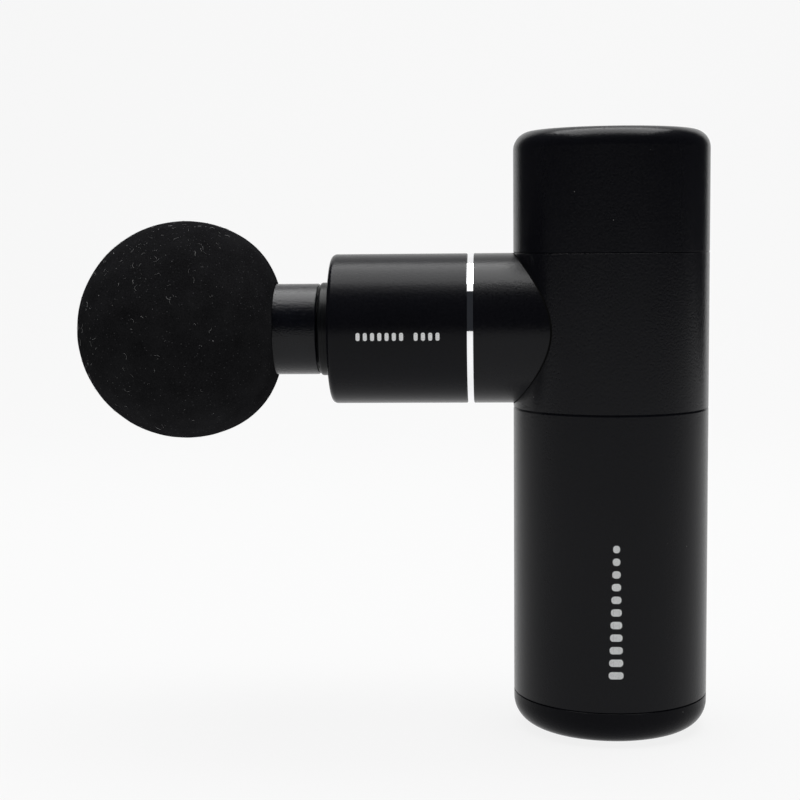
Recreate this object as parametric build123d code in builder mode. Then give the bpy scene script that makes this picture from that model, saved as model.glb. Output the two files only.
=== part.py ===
from build123d import *
import os

# Compact percussion massager: an upright round handle with a barrel to one side,
# a crank-driven plunger in the barrel and a ball head pushed into the plunger.
# Millimetres. The origin is the centre of the foot pad's underside, +Z runs up
# the handle and the barrel points along -X, so the controls face +X.

os.makedirs("parts", exist_ok=True)

# Driving dimensions: handle
HANDLE_R = 22.5
WALL = 2.0
BORE_R = HANDLE_R - WALL
TOTAL_H = 138.5
BASE_SEAM = 8.1
LOWER_SEAM = 75.1
UPPER_SEAM = 110.8
BASE_EDGE_R = 6.0
TOP_EDGE_R = 4.2
SEAM_CHAMFER = 0.18
SPIGOT_R = BORE_R - 0.15
SPIGOT_BORE_R = 18.9
SPIGOT_H = 2.7

# Driving dimensions: foot
PAD_R = 15.9
PAD_T = 0.9
PAD_GAP = 0.1
CAP_BOTTOM = 0.3
CAP_FLOOR_TOP = 2.6

# Driving dimensions: barrel
BARREL_R = 17.4
AXIS_Z = UPPER_SEAM - BARREL_R
BARREL_BORE_R = 15.6
BARREL_END = 31.5
TRIM_W = 1.6
NOSE_FRONT = 64.7
NOSE_EDGE_R = 1.3
NOSE_WALL = 2.0

# Driving dimensions: plunger, head and drive
PLUNGER_R = 10.85
PLUNGER_FRONT = 67.4
PLUNGER_REAR = 34.0
SOCKET_R = 8.0
SOCKET_DEPTH = 19.0
CAVITY_DEPTH = 12.4
WRIST_X = 40.0
WRIST_PIN_R = 2.0
WRIST_PIN_L = 20.0
RUNNING_GAP = 0.05
THROW = 3.5
STEM_R = 10.6
SHANK_R = SOCKET_R - 0.1
BALL_R = 25.5
BALL_X = 99.2
SHAFT_R = 2.5

# Barrel-side planes and the barrel's axis: distances grow from the handle towards the head
BARREL = Plane(origin=(0, 0, AXIS_Z), x_dir=(0, 1, 0), z_dir=(-1, 0, 0))
BARREL_AXIS = Axis((0, 0, AXIS_Z), (-1, 0, 0))
SIDE = Plane.XZ


def disc(plane, radius, height, mode=Mode.ADD):
    """A round boss or bore standing on a plane."""
    with BuildSketch(plane) as outline:
        Circle(radius)
    extrude(outline.sketch, amount=height, mode=mode)


def ring(plane, outer, inner, height):
    """A plain ring standing on a plane."""
    with BuildSketch(plane) as outline:
        Circle(outer)
        Circle(inner, mode=Mode.SUBTRACT)
    extrude(outline.sketch, amount=height)


HEX_RATIO = 0.5
HEX_DEPTH_RATIO = 0.55


def screws(seat, spots, head_r, head_h, shank_r, length):
    """Socket-head screws whose heads stand on the seat plane and shanks go behind it."""
    with BuildPart() as group:
        with BuildSketch(seat):
            with Locations(*spots):
                Circle(head_r)
        extrude(amount=head_h)
        with BuildSketch(seat):
            with Locations(*spots):
                Circle(shank_r)
        extrude(amount=-length)
        with BuildSketch(seat.offset(head_h)):
            with Locations(*spots):
                RegularPolygon(head_r * HEX_RATIO, 6)
        extrude(amount=-head_h * HEX_DEPTH_RATIO, mode=Mode.SUBTRACT)
    return group


# ---- Foot pad: a rubber disc stuck into the base cap's recess, over its screws
PAD_EDGE_R = 0.25
with BuildPart() as base_pad:
    disc(Plane.XY, PAD_R, PAD_T)
    fillet(base_pad.edges().group_by(Axis.Z)[0], PAD_EDGE_R)
base_pad.part.label = "base_pad"
export_step(base_pad.part, "parts/base_pad.step")

# ---- Base cap: moulded cup with a rounded edge, a spigot into the handle and three screw seats
BASE_SCREW_SPOTS = [(0.0, 12.0), (-10.4, -6.0), (10.4, -6.0)]
BASE_SCREW_R = 1.15
BASE_HEAD_R = 2.3
BASE_HEAD_H = 0.9
BASE_SCREW_L = 7.0
BASE_SCREW_GAP = 0.1
with BuildPart() as base_cap:
    disc(Plane.XY.offset(CAP_BOTTOM), HANDLE_R, BASE_SEAM - CAP_BOTTOM)
    fillet(base_cap.edges().group_by(Axis.Z)[0], BASE_EDGE_R)
    chamfer(base_cap.edges().group_by(Axis.Z)[-1], SEAM_CHAMFER)
    disc(Plane.XY.offset(BASE_SEAM), SPIGOT_R, SPIGOT_H)
    disc(Plane.XY.offset(CAP_FLOOR_TOP), SPIGOT_BORE_R, BASE_SEAM + SPIGOT_H, Mode.SUBTRACT)
    disc(Plane.XY.offset(CAP_BOTTOM), PAD_R + PAD_GAP, PAD_T - CAP_BOTTOM, Mode.SUBTRACT)
    with BuildSketch(Plane.XY.offset(PAD_T)):
        with Locations(*BASE_SCREW_SPOTS):
            Circle(BASE_HEAD_R + BASE_SCREW_GAP)
    extrude(amount=BASE_HEAD_H, mode=Mode.SUBTRACT)
    with BuildSketch(Plane.XY.offset(PAD_T)):
        with Locations(*BASE_SCREW_SPOTS):
            Circle(BASE_SCREW_R + BASE_SCREW_GAP)
    extrude(amount=CAP_FLOOR_TOP, mode=Mode.SUBTRACT)
base_cap.part.label = "base_cap"
export_step(base_cap.part, "parts/base_cap.step")

# ---- Base screws: they pull the cap and the handle shell up against the tee
BASE_SEAT = Plane(origin=(0, 0, PAD_T + BASE_HEAD_H), x_dir=(1, 0, 0), z_dir=(0, 0, -1))
BASE_SEAT_SPOTS = [(x, -y) for x, y in BASE_SCREW_SPOTS]
base_screws = screws(BASE_SEAT, BASE_SEAT_SPOTS, BASE_HEAD_R, BASE_HEAD_H, BASE_SCREW_R, BASE_SCREW_L)
base_screws.part.label = "base_screws"
export_step(base_screws.part, "parts/base_screws.step")

# ---- Control positions on the back of the handle
PORT_Z = 20.3
PORT_L = 8.94
PORT_W = 3.2
PORT_GAP = 0.3
BUTTON_Z = 63.5
BUTTON_R = 5.5
BUTTON_GAP = 0.2
LED_ZS = [39.5, 43.5, 47.5, 51.5]
PIPE_R = 0.8
CUT_X = 17.5
CUT_DEPTH = 7.0
BACK = Plane.YZ

# ---- Lower handle shell: a plain tube with the charging port, button and light openings
# and a shallow lead-in round its top rim
LEAD_IN_T = 0.12
LEAD_IN_H = 0.38
with BuildPart() as lower_handle_shell:
    ring(Plane.XY.offset(BASE_SEAM), HANDLE_R, BORE_R, LOWER_SEAM - BASE_SEAM)
    rims = lower_handle_shell.edges().filter_by(GeomType.CIRCLE).sort_by(SortBy.RADIUS)[-2:]
    top_face = lower_handle_shell.faces().sort_by(Axis.Z)[-1]
    chamfer(rims.sort_by(Axis.Z)[-1], LEAD_IN_T, LEAD_IN_H, reference=top_face)
    chamfer(rims.sort_by(Axis.Z)[0], SEAM_CHAMFER)
    with BuildSketch(BACK.offset(CUT_X)):
        with Locations((0, PORT_Z)):
            SlotOverall(PORT_L + 2 * PORT_GAP, PORT_W + 2 * PORT_GAP, rotation=90)
        with Locations((0, BUTTON_Z)):
            Circle(BUTTON_R + BUTTON_GAP)
        with Locations(*[(0, z) for z in LED_ZS]):
            Circle(PIPE_R)
    extrude(amount=CUT_DEPTH, mode=Mode.SUBTRACT)
lower_handle_shell.part.label = "lower_handle_shell"
export_step(lower_handle_shell.part, "parts/lower_handle_shell.step")

# ---- Tee housing: the upper handle with the barrel root, one moulding
LEDGE_TOP = LOWER_SEAM + 3.8
BRACKET_Z = AXIS_Z + 8.9
BRACKET_T = 2.5
BRACKET_SCREW_SPOTS = [(15.76, 9.1), (15.76, -9.1), (0.0, 18.2), (0.0, -18.2)]
BRACKET_SCREW_R = 1.2
BOSS_R = 2.6
BOSS_H = 12.0
BARREL_BORE_REAR = 10.0
with BuildPart() as tee_housing:
    disc(Plane.XY.offset(LOWER_SEAM), HANDLE_R, UPPER_SEAM - LOWER_SEAM)
    chamfer(tee_housing.edges().filter_by(GeomType.CIRCLE), SEAM_CHAMFER)
    disc(BARREL, BARREL_R, BARREL_END)
    disc(Plane.XY.offset(LOWER_SEAM - SPIGOT_H), SPIGOT_R, SPIGOT_H)
    disc(Plane.XY.offset(LOWER_SEAM - SPIGOT_H), SPIGOT_BORE_R, UPPER_SEAM, Mode.SUBTRACT)
    disc(Plane.XY.offset(LEDGE_TOP), BORE_R, UPPER_SEAM, Mode.SUBTRACT)
    with BuildSketch(Plane.XY.offset(BRACKET_Z - BOSS_H)):
        with Locations(*BRACKET_SCREW_SPOTS):
            Circle(BOSS_R)
        Circle(HANDLE_R - WALL / 2, mode=Mode.INTERSECT)
    extrude(amount=BOSS_H)
    with BuildSketch(Plane.XY.offset(BRACKET_Z - BOSS_H)):
        with Locations(*BRACKET_SCREW_SPOTS):
            Circle(BRACKET_SCREW_R)
    extrude(amount=BOSS_H, mode=Mode.SUBTRACT)
    disc(BARREL.offset(BARREL_BORE_REAR), BARREL_BORE_R, BARREL_END - BARREL_BORE_REAR, Mode.SUBTRACT)
tee_housing.part.label = "tee_housing"
export_step(tee_housing.part, "parts/tee_housing.step")

# ---- Top cap: closes the handle over the motor, with a rounded top edge
ROOF_T = 2.2
COLLAR_H = 2.0
CAVITY_Z = UPPER_SEAM + COLLAR_H
with BuildPart() as top_cap:
    disc(Plane.XY.offset(UPPER_SEAM), HANDLE_R, TOTAL_H - UPPER_SEAM)
    fillet(top_cap.edges().group_by(Axis.Z)[-1], TOP_EDGE_R)
    chamfer(top_cap.edges().group_by(Axis.Z)[0], SEAM_CHAMFER)
    disc(Plane.XY.offset(UPPER_SEAM - SPIGOT_H), SPIGOT_R, SPIGOT_H)
    disc(Plane.XY.offset(UPPER_SEAM - SPIGOT_H), SPIGOT_BORE_R, SPIGOT_H + COLLAR_H, Mode.SUBTRACT)
    disc(Plane.XY.offset(CAVITY_Z), BORE_R, TOTAL_H - ROOF_T - CAVITY_Z, Mode.SUBTRACT)
top_cap.part.label = "top_cap"
export_step(top_cap.part, "parts/top_cap.step")

# ---- Trim ring: the bright band between the barrel root and the nose
TRIM_CHAMFER = 0.12
with BuildPart() as trim_ring:
    ring(BARREL.offset(BARREL_END), BARREL_R, BARREL_BORE_R, TRIM_W)
    outer_edges = trim_ring.edges().filter_by(GeomType.CIRCLE).sort_by(SortBy.RADIUS)[-2:]
    chamfer(outer_edges, TRIM_CHAMFER)
trim_ring.part.label = "trim_ring"
export_step(trim_ring.part, "parts/trim_ring.step")

# ---- Nose shell: the barrel's front half, open for the plunger and pushed through the trim ring
NOSE_REAR = BARREL_END + TRIM_W
NOSE_SPIGOT_REAR = 28.5
NOSE_SPIGOT_R = BARREL_BORE_R - 0.1
NOSE_SPIGOT_BORE_R = 14.0
NOSE_STEP = NOSE_REAR + 3.5
NOSE_OPENING_R = 12.0
with BuildPart() as nose_shell:
    disc(BARREL.offset(NOSE_REAR), BARREL_R, NOSE_FRONT - NOSE_REAR)
    fillet(nose_shell.edges().sort_by(Axis.X)[0], NOSE_EDGE_R)
    chamfer(nose_shell.edges().sort_by(Axis.X)[-1], SEAM_CHAMFER)
    disc(BARREL.offset(NOSE_SPIGOT_REAR), NOSE_SPIGOT_R, NOSE_REAR - NOSE_SPIGOT_REAR)
    disc(BARREL.offset(NOSE_SPIGOT_REAR), NOSE_SPIGOT_BORE_R, NOSE_STEP - NOSE_SPIGOT_REAR, Mode.SUBTRACT)
    disc(BARREL.offset(NOSE_STEP), BARREL_BORE_R, NOSE_FRONT - NOSE_WALL - NOSE_STEP, Mode.SUBTRACT)
    disc(BARREL.offset(NOSE_REAR), NOSE_OPENING_R, NOSE_FRONT, Mode.SUBTRACT)
nose_shell.part.label = "nose_shell"
export_step(nose_shell.part, "parts/nose_shell.step")

# ---- Dust seal: a flanged rubber ring in the nose opening, close round the plunger
SEAL_FLANGE_R = 13.2
SEAL_FLANGE_T = 1.0
SEAL_GAP = 0.2
SEAL_REAR = NOSE_FRONT - NOSE_WALL - SEAL_FLANGE_T
with BuildPart() as dust_seal:
    disc(BARREL.offset(SEAL_REAR), SEAL_FLANGE_R, SEAL_FLANGE_T)
    disc(BARREL.offset(NOSE_FRONT - NOSE_WALL), NOSE_OPENING_R, NOSE_WALL)
    disc(BARREL.offset(SEAL_REAR), PLUNGER_R + SEAL_GAP, SEAL_FLANGE_T + NOSE_WALL, Mode.SUBTRACT)
dust_seal.part.label = "dust_seal"
export_step(dust_seal.part, "parts/dust_seal.step")

# ---- Cylinder tube: aluminium sleeve that carries the guide bush, bolted to the motor bracket
TUBE_R = 13.8
TUBE_BORE_R = 12.4
TUBE_REAR = 24.0
TUBE_COLLAR_R = 15.2
TUBE_COLLAR_T = 4.0
TUBE_FRONT = SEAL_REAR - 0.1
CYLINDER_SCREW_SPOTS = [(9.76, 9.76), (-9.76, 9.76), (9.76, -9.76), (-9.76, -9.76)]
CYLINDER_SCREW_R = 0.8
CYLINDER_SCREW_L = 5.0
CYLINDER_HOLE_DEPTH = 3.5
with BuildPart() as cylinder_tube:
    ring(BARREL.offset(TUBE_REAR), TUBE_R, TUBE_BORE_R, TUBE_FRONT - TUBE_REAR)
    ring(BARREL.offset(TUBE_REAR), TUBE_COLLAR_R, TUBE_BORE_R, TUBE_COLLAR_T)
    with BuildSketch(BARREL.offset(TUBE_REAR)):
        with Locations(*CYLINDER_SCREW_SPOTS):
            Circle(CYLINDER_SCREW_R)
    extrude(amount=CYLINDER_HOLE_DEPTH, mode=Mode.SUBTRACT)
cylinder_tube.part.label = "cylinder_tube"
export_step(cylinder_tube.part, "parts/cylinder_tube.step")

# ---- Guide bush: the low-friction liner that the plunger slides in
GUIDE_REAR = 37.0
with BuildPart() as guide_bush:
    ring(BARREL.offset(GUIDE_REAR), TUBE_BORE_R, PLUNGER_R + RUNNING_GAP, TUBE_FRONT - GUIDE_REAR)
guide_bush.part.label = "guide_bush"
export_step(guide_bush.part, "parts/guide_bush.step")

# ---- Damping rings: two silicone rings between the cylinder tube and the nose
DAMPING_SPOTS = (41.0, 54.0)
DAMPING_W = 4.0
with BuildPart() as damping_rings:
    for distance in DAMPING_SPOTS:
        ring(BARREL.offset(distance), BARREL_BORE_R, TUBE_R, DAMPING_W)
damping_rings.part.label = "damping_rings"
export_step(damping_rings.part, "parts/damping_rings.step")

# ---- Motor bracket: die-cast plate under the motor, with an upright flange for the cylinder tube
FLANGE_T = 2.0
NECK_W = 16.0
NECK_REAR = 16.0
BEARING_BOSS_R = 7.5
LOWER_BEARING_R = 5.5
LOWER_BEARING_Z = BRACKET_Z - 1.0
LOWER_BEARING_W = 3.5
MOTOR_SCREW_SPOTS = [(7.07, 7.07), (-7.07, 7.07), (7.07, -7.07), (-7.07, -7.07)]
MOTOR_SCREW_R = 1.25
WIRE_X = 17.4
WIRE_SLOT_W = 2.6
WIRE_SLOT_L = 10.0
PLATE_GAP = 0.3
with BuildPart() as motor_bracket:
    disc(Plane.XY.offset(BRACKET_Z), BORE_R - PLATE_GAP, BRACKET_T)
    disc(Plane.XY.offset(LOWER_BEARING_Z), BEARING_BOSS_R, BRACKET_Z - LOWER_BEARING_Z)
    with BuildSketch(Plane.XY.offset(BRACKET_Z)):
        with Locations((-(TUBE_REAR + NECK_REAR) / 2, 0)):
            Rectangle(TUBE_REAR - NECK_REAR, NECK_W)
    extrude(amount=BRACKET_T)
    ring(BARREL.offset(TUBE_REAR - FLANGE_T), TUBE_COLLAR_R, TUBE_BORE_R, FLANGE_T)
    with BuildSketch(BARREL.offset(TUBE_REAR - FLANGE_T)):
        with Locations(*CYLINDER_SCREW_SPOTS):
            Circle(CYLINDER_SCREW_R)
    extrude(amount=FLANGE_T, mode=Mode.SUBTRACT)
    disc(Plane.XY.offset(LOWER_BEARING_Z), LOWER_BEARING_R, LOWER_BEARING_W, Mode.SUBTRACT)
    with BuildSketch(Plane.XY.offset(BRACKET_Z)):
        with Locations(*BRACKET_SCREW_SPOTS):
            Circle(BRACKET_SCREW_R)
        with Locations(*MOTOR_SCREW_SPOTS):
            Circle(MOTOR_SCREW_R)
        with Locations((WIRE_X, 0)):
            RectangleRounded(WIRE_SLOT_W, WIRE_SLOT_L, 1.2)
    extrude(amount=BRACKET_T, mode=Mode.SUBTRACT)
motor_bracket.part.label = "motor_bracket"
export_step(motor_bracket.part, "parts/motor_bracket.step")

# ---- Screws that hold the cylinder tube to the bracket, and the bracket to the tee housing
CYLINDER_SEAT = Plane(origin=(-TUBE_REAR + FLANGE_T, 0, AXIS_Z), x_dir=(0, 1, 0), z_dir=(1, 0, 0))
cylinder_screws = screws(CYLINDER_SEAT, CYLINDER_SCREW_SPOTS, 1.4, 1.3, CYLINDER_SCREW_R, CYLINDER_SCREW_L)
cylinder_screws.part.label = "cylinder_screws"
export_step(cylinder_screws.part, "parts/cylinder_screws.step")

BRACKET_TOP = Plane.XY.offset(BRACKET_Z + BRACKET_T)
bracket_screws = screws(BRACKET_TOP, BRACKET_SCREW_SPOTS, 1.9, 1.7, BRACKET_SCREW_R, 10.0)
bracket_screws.part.label = "bracket_screws"
export_step(bracket_screws.part, "parts/bracket_screws.step")

# ---- Motor base: aluminium flange with the bearing tube that carries the stator
MOTOR_BASE_Z = BRACKET_Z + BRACKET_T
MOTOR_BASE_T = 1.8
MOTOR_BASE_R = 12.5
MOTOR_TUBE_BORE_R = 4.4
STATOR_BORE_R = 6.5
UPPER_BEARING_R = 5.0
UPPER_BEARING_Z = BRACKET_Z + 16.5
UPPER_BEARING_W = 3.5
MOTOR_TUBE_TOP = UPPER_BEARING_Z + UPPER_BEARING_W
with BuildPart() as motor_base:
    disc(Plane.XY.offset(MOTOR_BASE_Z), MOTOR_BASE_R, MOTOR_BASE_T)
    disc(Plane.XY.offset(MOTOR_BASE_Z), STATOR_BORE_R, MOTOR_TUBE_TOP - MOTOR_BASE_Z)
    disc(Plane.XY.offset(MOTOR_BASE_Z), MOTOR_TUBE_BORE_R, MOTOR_TUBE_TOP - MOTOR_BASE_Z, Mode.SUBTRACT)
    disc(Plane.XY.offset(UPPER_BEARING_Z), UPPER_BEARING_R, UPPER_BEARING_W, Mode.SUBTRACT)
    with BuildSketch(Plane.XY.offset(MOTOR_BASE_Z)):
        with Locations(*MOTOR_SCREW_SPOTS):
            Circle(MOTOR_SCREW_R)
    extrude(amount=MOTOR_BASE_T, mode=Mode.SUBTRACT)
motor_base.part.label = "motor_base"
export_step(motor_base.part, "parts/motor_base.step")

# ---- Motor screws: up through the bracket into the motor base
MOTOR_SEAT = Plane(origin=(0, 0, BRACKET_Z), x_dir=(1, 0, 0), z_dir=(0, 0, -1))
motor_screws = screws(MOTOR_SEAT, MOTOR_SCREW_SPOTS, 2.1, 1.3, MOTOR_SCREW_R, BRACKET_T + MOTOR_BASE_T)
motor_screws.part.label = "motor_screws"
export_step(motor_screws.part, "parts/motor_screws.step")

# ---- Stator core: laminated iron with twelve teeth
TEETH = 12
STATOR_Z = BRACKET_Z + 7.5
STATOR_H = 12.0
STATOR_R = 14.0
TOOTH_TIP_R = 12.7
STATOR_HUB_R = 8.5
TOOTH_W = 2.2
TIP_GAP = 1.5
with BuildPart() as stator_core:
    with BuildSketch(Plane.XY.offset(STATOR_Z)):
        Circle(STATOR_R)
        Circle(TOOTH_TIP_R, mode=Mode.SUBTRACT)
        with PolarLocations(STATOR_R - 0.6, TEETH, start_angle=180 / TEETH):
            Rectangle(3.0, TIP_GAP, mode=Mode.SUBTRACT)
        Circle(STATOR_HUB_R)
        with PolarLocations((STATOR_HUB_R + TOOTH_TIP_R) / 2, TEETH):
            Rectangle(TOOTH_TIP_R - STATOR_HUB_R + 1, TOOTH_W)
        Circle(STATOR_BORE_R, mode=Mode.SUBTRACT)
    extrude(amount=STATOR_H)
stator_core.part.label = "stator_core"
export_step(stator_core.part, "parts/stator_core.step")

# ---- Stator windings: one copper coil round each tooth
COIL_END = 1.7
COIL_L = 3.6
COIL_W = 4.2
COIL_MID_R = (STATOR_HUB_R + TOOTH_TIP_R) / 2
with BuildPart() as stator_windings:
    with BuildSketch(Plane.XY.offset(STATOR_Z - COIL_END)):
        with PolarLocations(COIL_MID_R, TEETH):
            RectangleRounded(COIL_L, COIL_W, 0.6)
    extrude(amount=STATOR_H + 2 * COIL_END)
    with BuildSketch(Plane.XY.offset(STATOR_Z)):
        with PolarLocations(COIL_MID_R, TEETH):
            Rectangle(COIL_L + 0.6, TOOTH_W)
    extrude(amount=STATOR_H, mode=Mode.SUBTRACT)
stator_windings.part.label = "stator_windings"
export_step(stator_windings.part, "parts/stator_windings.step")

# ---- Motor bearings: each is centre height, width, inner, race split, outer and ball sizes
MOTOR_BEARINGS = [
    (LOWER_BEARING_Z, LOWER_BEARING_W, LOWER_BEARING_R, 4.0, 0.8, 8),
    (UPPER_BEARING_Z, UPPER_BEARING_W, UPPER_BEARING_R, 3.75, 0.65, 9),
]
RACE_GAP = 0.75
GROOVE_GAP = 0.05


def cut_groove(centre, pitch_r, ball_r):
    """The ball groove in a race."""
    with Locations(centre):
        Torus(pitch_r, ball_r + GROOVE_GAP, mode=Mode.SUBTRACT)


with BuildPart() as motor_outer_races:
    for base, width, outer_r, pitch_r, ball_r, count in MOTOR_BEARINGS:
        ring(Plane.XY.offset(base), outer_r, pitch_r + RACE_GAP * ball_r, width)
        cut_groove((0, 0, base + width / 2), pitch_r, ball_r)
motor_outer_races.part.label = "motor_outer_races"
export_step(motor_outer_races.part, "parts/motor_outer_races.step")

with BuildPart() as motor_inner_races:
    for base, width, outer_r, pitch_r, ball_r, count in MOTOR_BEARINGS:
        ring(Plane.XY.offset(base), pitch_r - RACE_GAP * ball_r, SHAFT_R, width)
        cut_groove((0, 0, base + width / 2), pitch_r, ball_r)
motor_inner_races.part.label = "motor_inner_races"
export_step(motor_inner_races.part, "parts/motor_inner_races.step")

with BuildPart() as motor_bearing_balls:
    for base, width, outer_r, pitch_r, ball_r, count in MOTOR_BEARINGS:
        with Locations((0, 0, base + width / 2)):
            with PolarLocations(pitch_r, count):
                Sphere(ball_r)
motor_bearing_balls.part.label = "motor_bearing_balls"
export_step(motor_bearing_balls.part, "parts/motor_bearing_balls.step")

# ---- Rotor bell: steel can that turns round the stator, with vents in its roof
BELL_R = 18.2
BELL_BORE_R = 16.8
BELL_Z = BRACKET_Z + 6.3
BELL_TOP = BRACKET_Z + 26.0
BELL_ROOF_T = 2.2
BELL_EDGE_R = 1.2
BELL_HUB_R = 3.4
BELL_VENTS = 6
VENT_PITCH_R = 11.0
with BuildPart() as rotor_bell:
    disc(Plane.XY.offset(BELL_Z), BELL_R, BELL_TOP - BELL_Z)
    fillet(rotor_bell.edges().group_by(Axis.Z)[-1], BELL_EDGE_R)
    disc(Plane.XY.offset(BELL_Z), BELL_BORE_R, BELL_TOP - BELL_ROOF_T - BELL_Z, Mode.SUBTRACT)
    disc(Plane.XY.offset(MOTOR_TUBE_TOP), BELL_HUB_R, BELL_TOP - BELL_ROOF_T - MOTOR_TUBE_TOP)
    with BuildSketch(Plane.XY.offset(BELL_TOP - BELL_ROOF_T)):
        with PolarLocations(VENT_PITCH_R, BELL_VENTS):
            SlotOverall(7.6, 5.0)
    extrude(amount=BELL_ROOF_T, mode=Mode.SUBTRACT)
    disc(Plane.XY.offset(MOTOR_TUBE_TOP), SHAFT_R, BELL_TOP - MOTOR_TUBE_TOP, Mode.SUBTRACT)
rotor_bell.part.label = "rotor_bell"
export_step(rotor_bell.part, "parts/rotor_bell.step")

# ---- Rotor magnets: fourteen curved magnets glued inside the bell
POLES = 14
MAGNET_R = 14.5
MAGNET_GAP = 0.7
MAGNET_OVERHANG = 0.5
with BuildPart() as rotor_magnets:
    with BuildSketch(Plane.XY.offset(STATOR_Z - MAGNET_OVERHANG)):
        Circle(BELL_BORE_R)
        Circle(MAGNET_R, mode=Mode.SUBTRACT)
        with PolarLocations((MAGNET_R + BELL_BORE_R) / 2, POLES):
            Rectangle(3.4, MAGNET_GAP, mode=Mode.SUBTRACT)
    extrude(amount=STATOR_H + 2 * MAGNET_OVERHANG)
rotor_magnets.part.label = "rotor_magnets"
export_step(rotor_magnets.part, "parts/rotor_magnets.step")

# ---- Motor shaft: pressed in the bell, through both bearings, into the crank disc
CRANK_Z = AXIS_Z + 2.5
CRANK_T = 4.4
PIN_TOP = AXIS_Z + 4.5
SHAFT_BOTTOM = PIN_TOP + 0.2
SHAFT_TOP = BELL_TOP + 0.8
with BuildPart() as motor_shaft:
    disc(Plane.XY.offset(SHAFT_BOTTOM), SHAFT_R, SHAFT_TOP - SHAFT_BOTTOM)
    chamfer(motor_shaft.edges().group_by(Axis.Z)[-1], 0.3)
motor_shaft.part.label = "motor_shaft"
export_step(motor_shaft.part, "parts/motor_shaft.step")

# ---- Crank disc: steel hub with the counterweight opposite the crank pin
COUNTERWEIGHT_R = 15.0
COUNTERWEIGHT_EDGE_X = -2.0
CRANK_PIN_R = 2.0
CRANK_HUB_R = 7.0
CRANK_COLLAR_R = 3.3
INNER_RACE_R = 2.9
RACE_SPACER_T = 0.5
with BuildPart() as crank_disc:
    with BuildSketch(Plane.XY.offset(CRANK_Z)):
        Circle(COUNTERWEIGHT_R)
        with Locations((COUNTERWEIGHT_R + COUNTERWEIGHT_EDGE_X, 0)):
            Rectangle(2 * COUNTERWEIGHT_R, 2 * COUNTERWEIGHT_R, mode=Mode.SUBTRACT)
        Circle(CRANK_HUB_R)
    extrude(amount=CRANK_T)
    disc(Plane.XY.offset(CRANK_Z + CRANK_T), CRANK_COLLAR_R, LOWER_BEARING_Z - CRANK_Z - CRANK_T)
    with BuildSketch(Plane.XY.offset(CRANK_Z - RACE_SPACER_T)):
        with Locations((THROW, 0)):
            Circle(INNER_RACE_R)
    extrude(amount=RACE_SPACER_T)
    with BuildSketch(Plane.XY.offset(CRANK_Z - RACE_SPACER_T)):
        with Locations((THROW, 0)):
            Circle(CRANK_PIN_R)
    extrude(amount=PIN_TOP - CRANK_Z + RACE_SPACER_T, mode=Mode.SUBTRACT)
    disc(Plane.XY.offset(SHAFT_BOTTOM), SHAFT_R, LOWER_BEARING_Z - SHAFT_BOTTOM, Mode.SUBTRACT)
crank_disc.part.label = "crank_disc"
export_step(crank_disc.part, "parts/crank_disc.step")

# ---- Crank pin: shoulder bolt that carries the big-end bearing
ROD_T = 4.0
ROD_Z = AXIS_Z - ROD_T / 2
PIN_HEAD_R = 3.2
PIN_HEAD_H = 1.6
PIN_HEX_R = 1.6
PIN_HEX_DEPTH = 1.0
with BuildPart() as crank_pin:
    with BuildSketch(Plane.XY.offset(ROD_Z)):
        with Locations((THROW, 0)):
            Circle(CRANK_PIN_R)
    extrude(amount=PIN_TOP - ROD_Z)
    with BuildSketch(Plane.XY.offset(ROD_Z - PIN_HEAD_H)):
        with Locations((THROW, 0)):
            Circle(PIN_HEAD_R)
    extrude(amount=PIN_HEAD_H)
    with BuildSketch(Plane.XY.offset(ROD_Z - PIN_HEAD_H)):
        with Locations((THROW, 0)):
            RegularPolygon(PIN_HEX_R, 6)
    extrude(amount=PIN_HEX_DEPTH, mode=Mode.SUBTRACT)
crank_pin.part.label = "crank_pin"
export_step(crank_pin.part, "parts/crank_pin.step")

# ---- Big-end bearing: races and balls between the crank pin and the connecting rod
BIG_END_PITCH_R = 3.25
BIG_END_BALL_R = 0.5
BIG_END_R = 4.5
BIG_END_SPLIT_R = 3.6
BIG_END_BALLS = 10
BIG_END_CENTRE = (THROW, 0, AXIS_Z)
BIG_END_PLANE = Plane(origin=(THROW, 0, ROD_Z))
with BuildPart() as big_end_outer_race:
    ring(BIG_END_PLANE, BIG_END_R, BIG_END_SPLIT_R, ROD_T)
    cut_groove(BIG_END_CENTRE, BIG_END_PITCH_R, BIG_END_BALL_R)
big_end_outer_race.part.label = "big_end_outer_race"
export_step(big_end_outer_race.part, "parts/big_end_outer_race.step")

with BuildPart() as big_end_inner_race:
    ring(BIG_END_PLANE, INNER_RACE_R, CRANK_PIN_R, ROD_T)
    cut_groove(BIG_END_CENTRE, BIG_END_PITCH_R, BIG_END_BALL_R)
big_end_inner_race.part.label = "big_end_inner_race"
export_step(big_end_inner_race.part, "parts/big_end_inner_race.step")

with BuildPart() as big_end_balls:
    with Locations(BIG_END_CENTRE):
        with PolarLocations(BIG_END_PITCH_R, BIG_END_BALLS):
            Sphere(BIG_END_BALL_R)
big_end_balls.part.label = "big_end_balls"
export_step(big_end_balls.part, "parts/big_end_balls.step")

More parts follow.
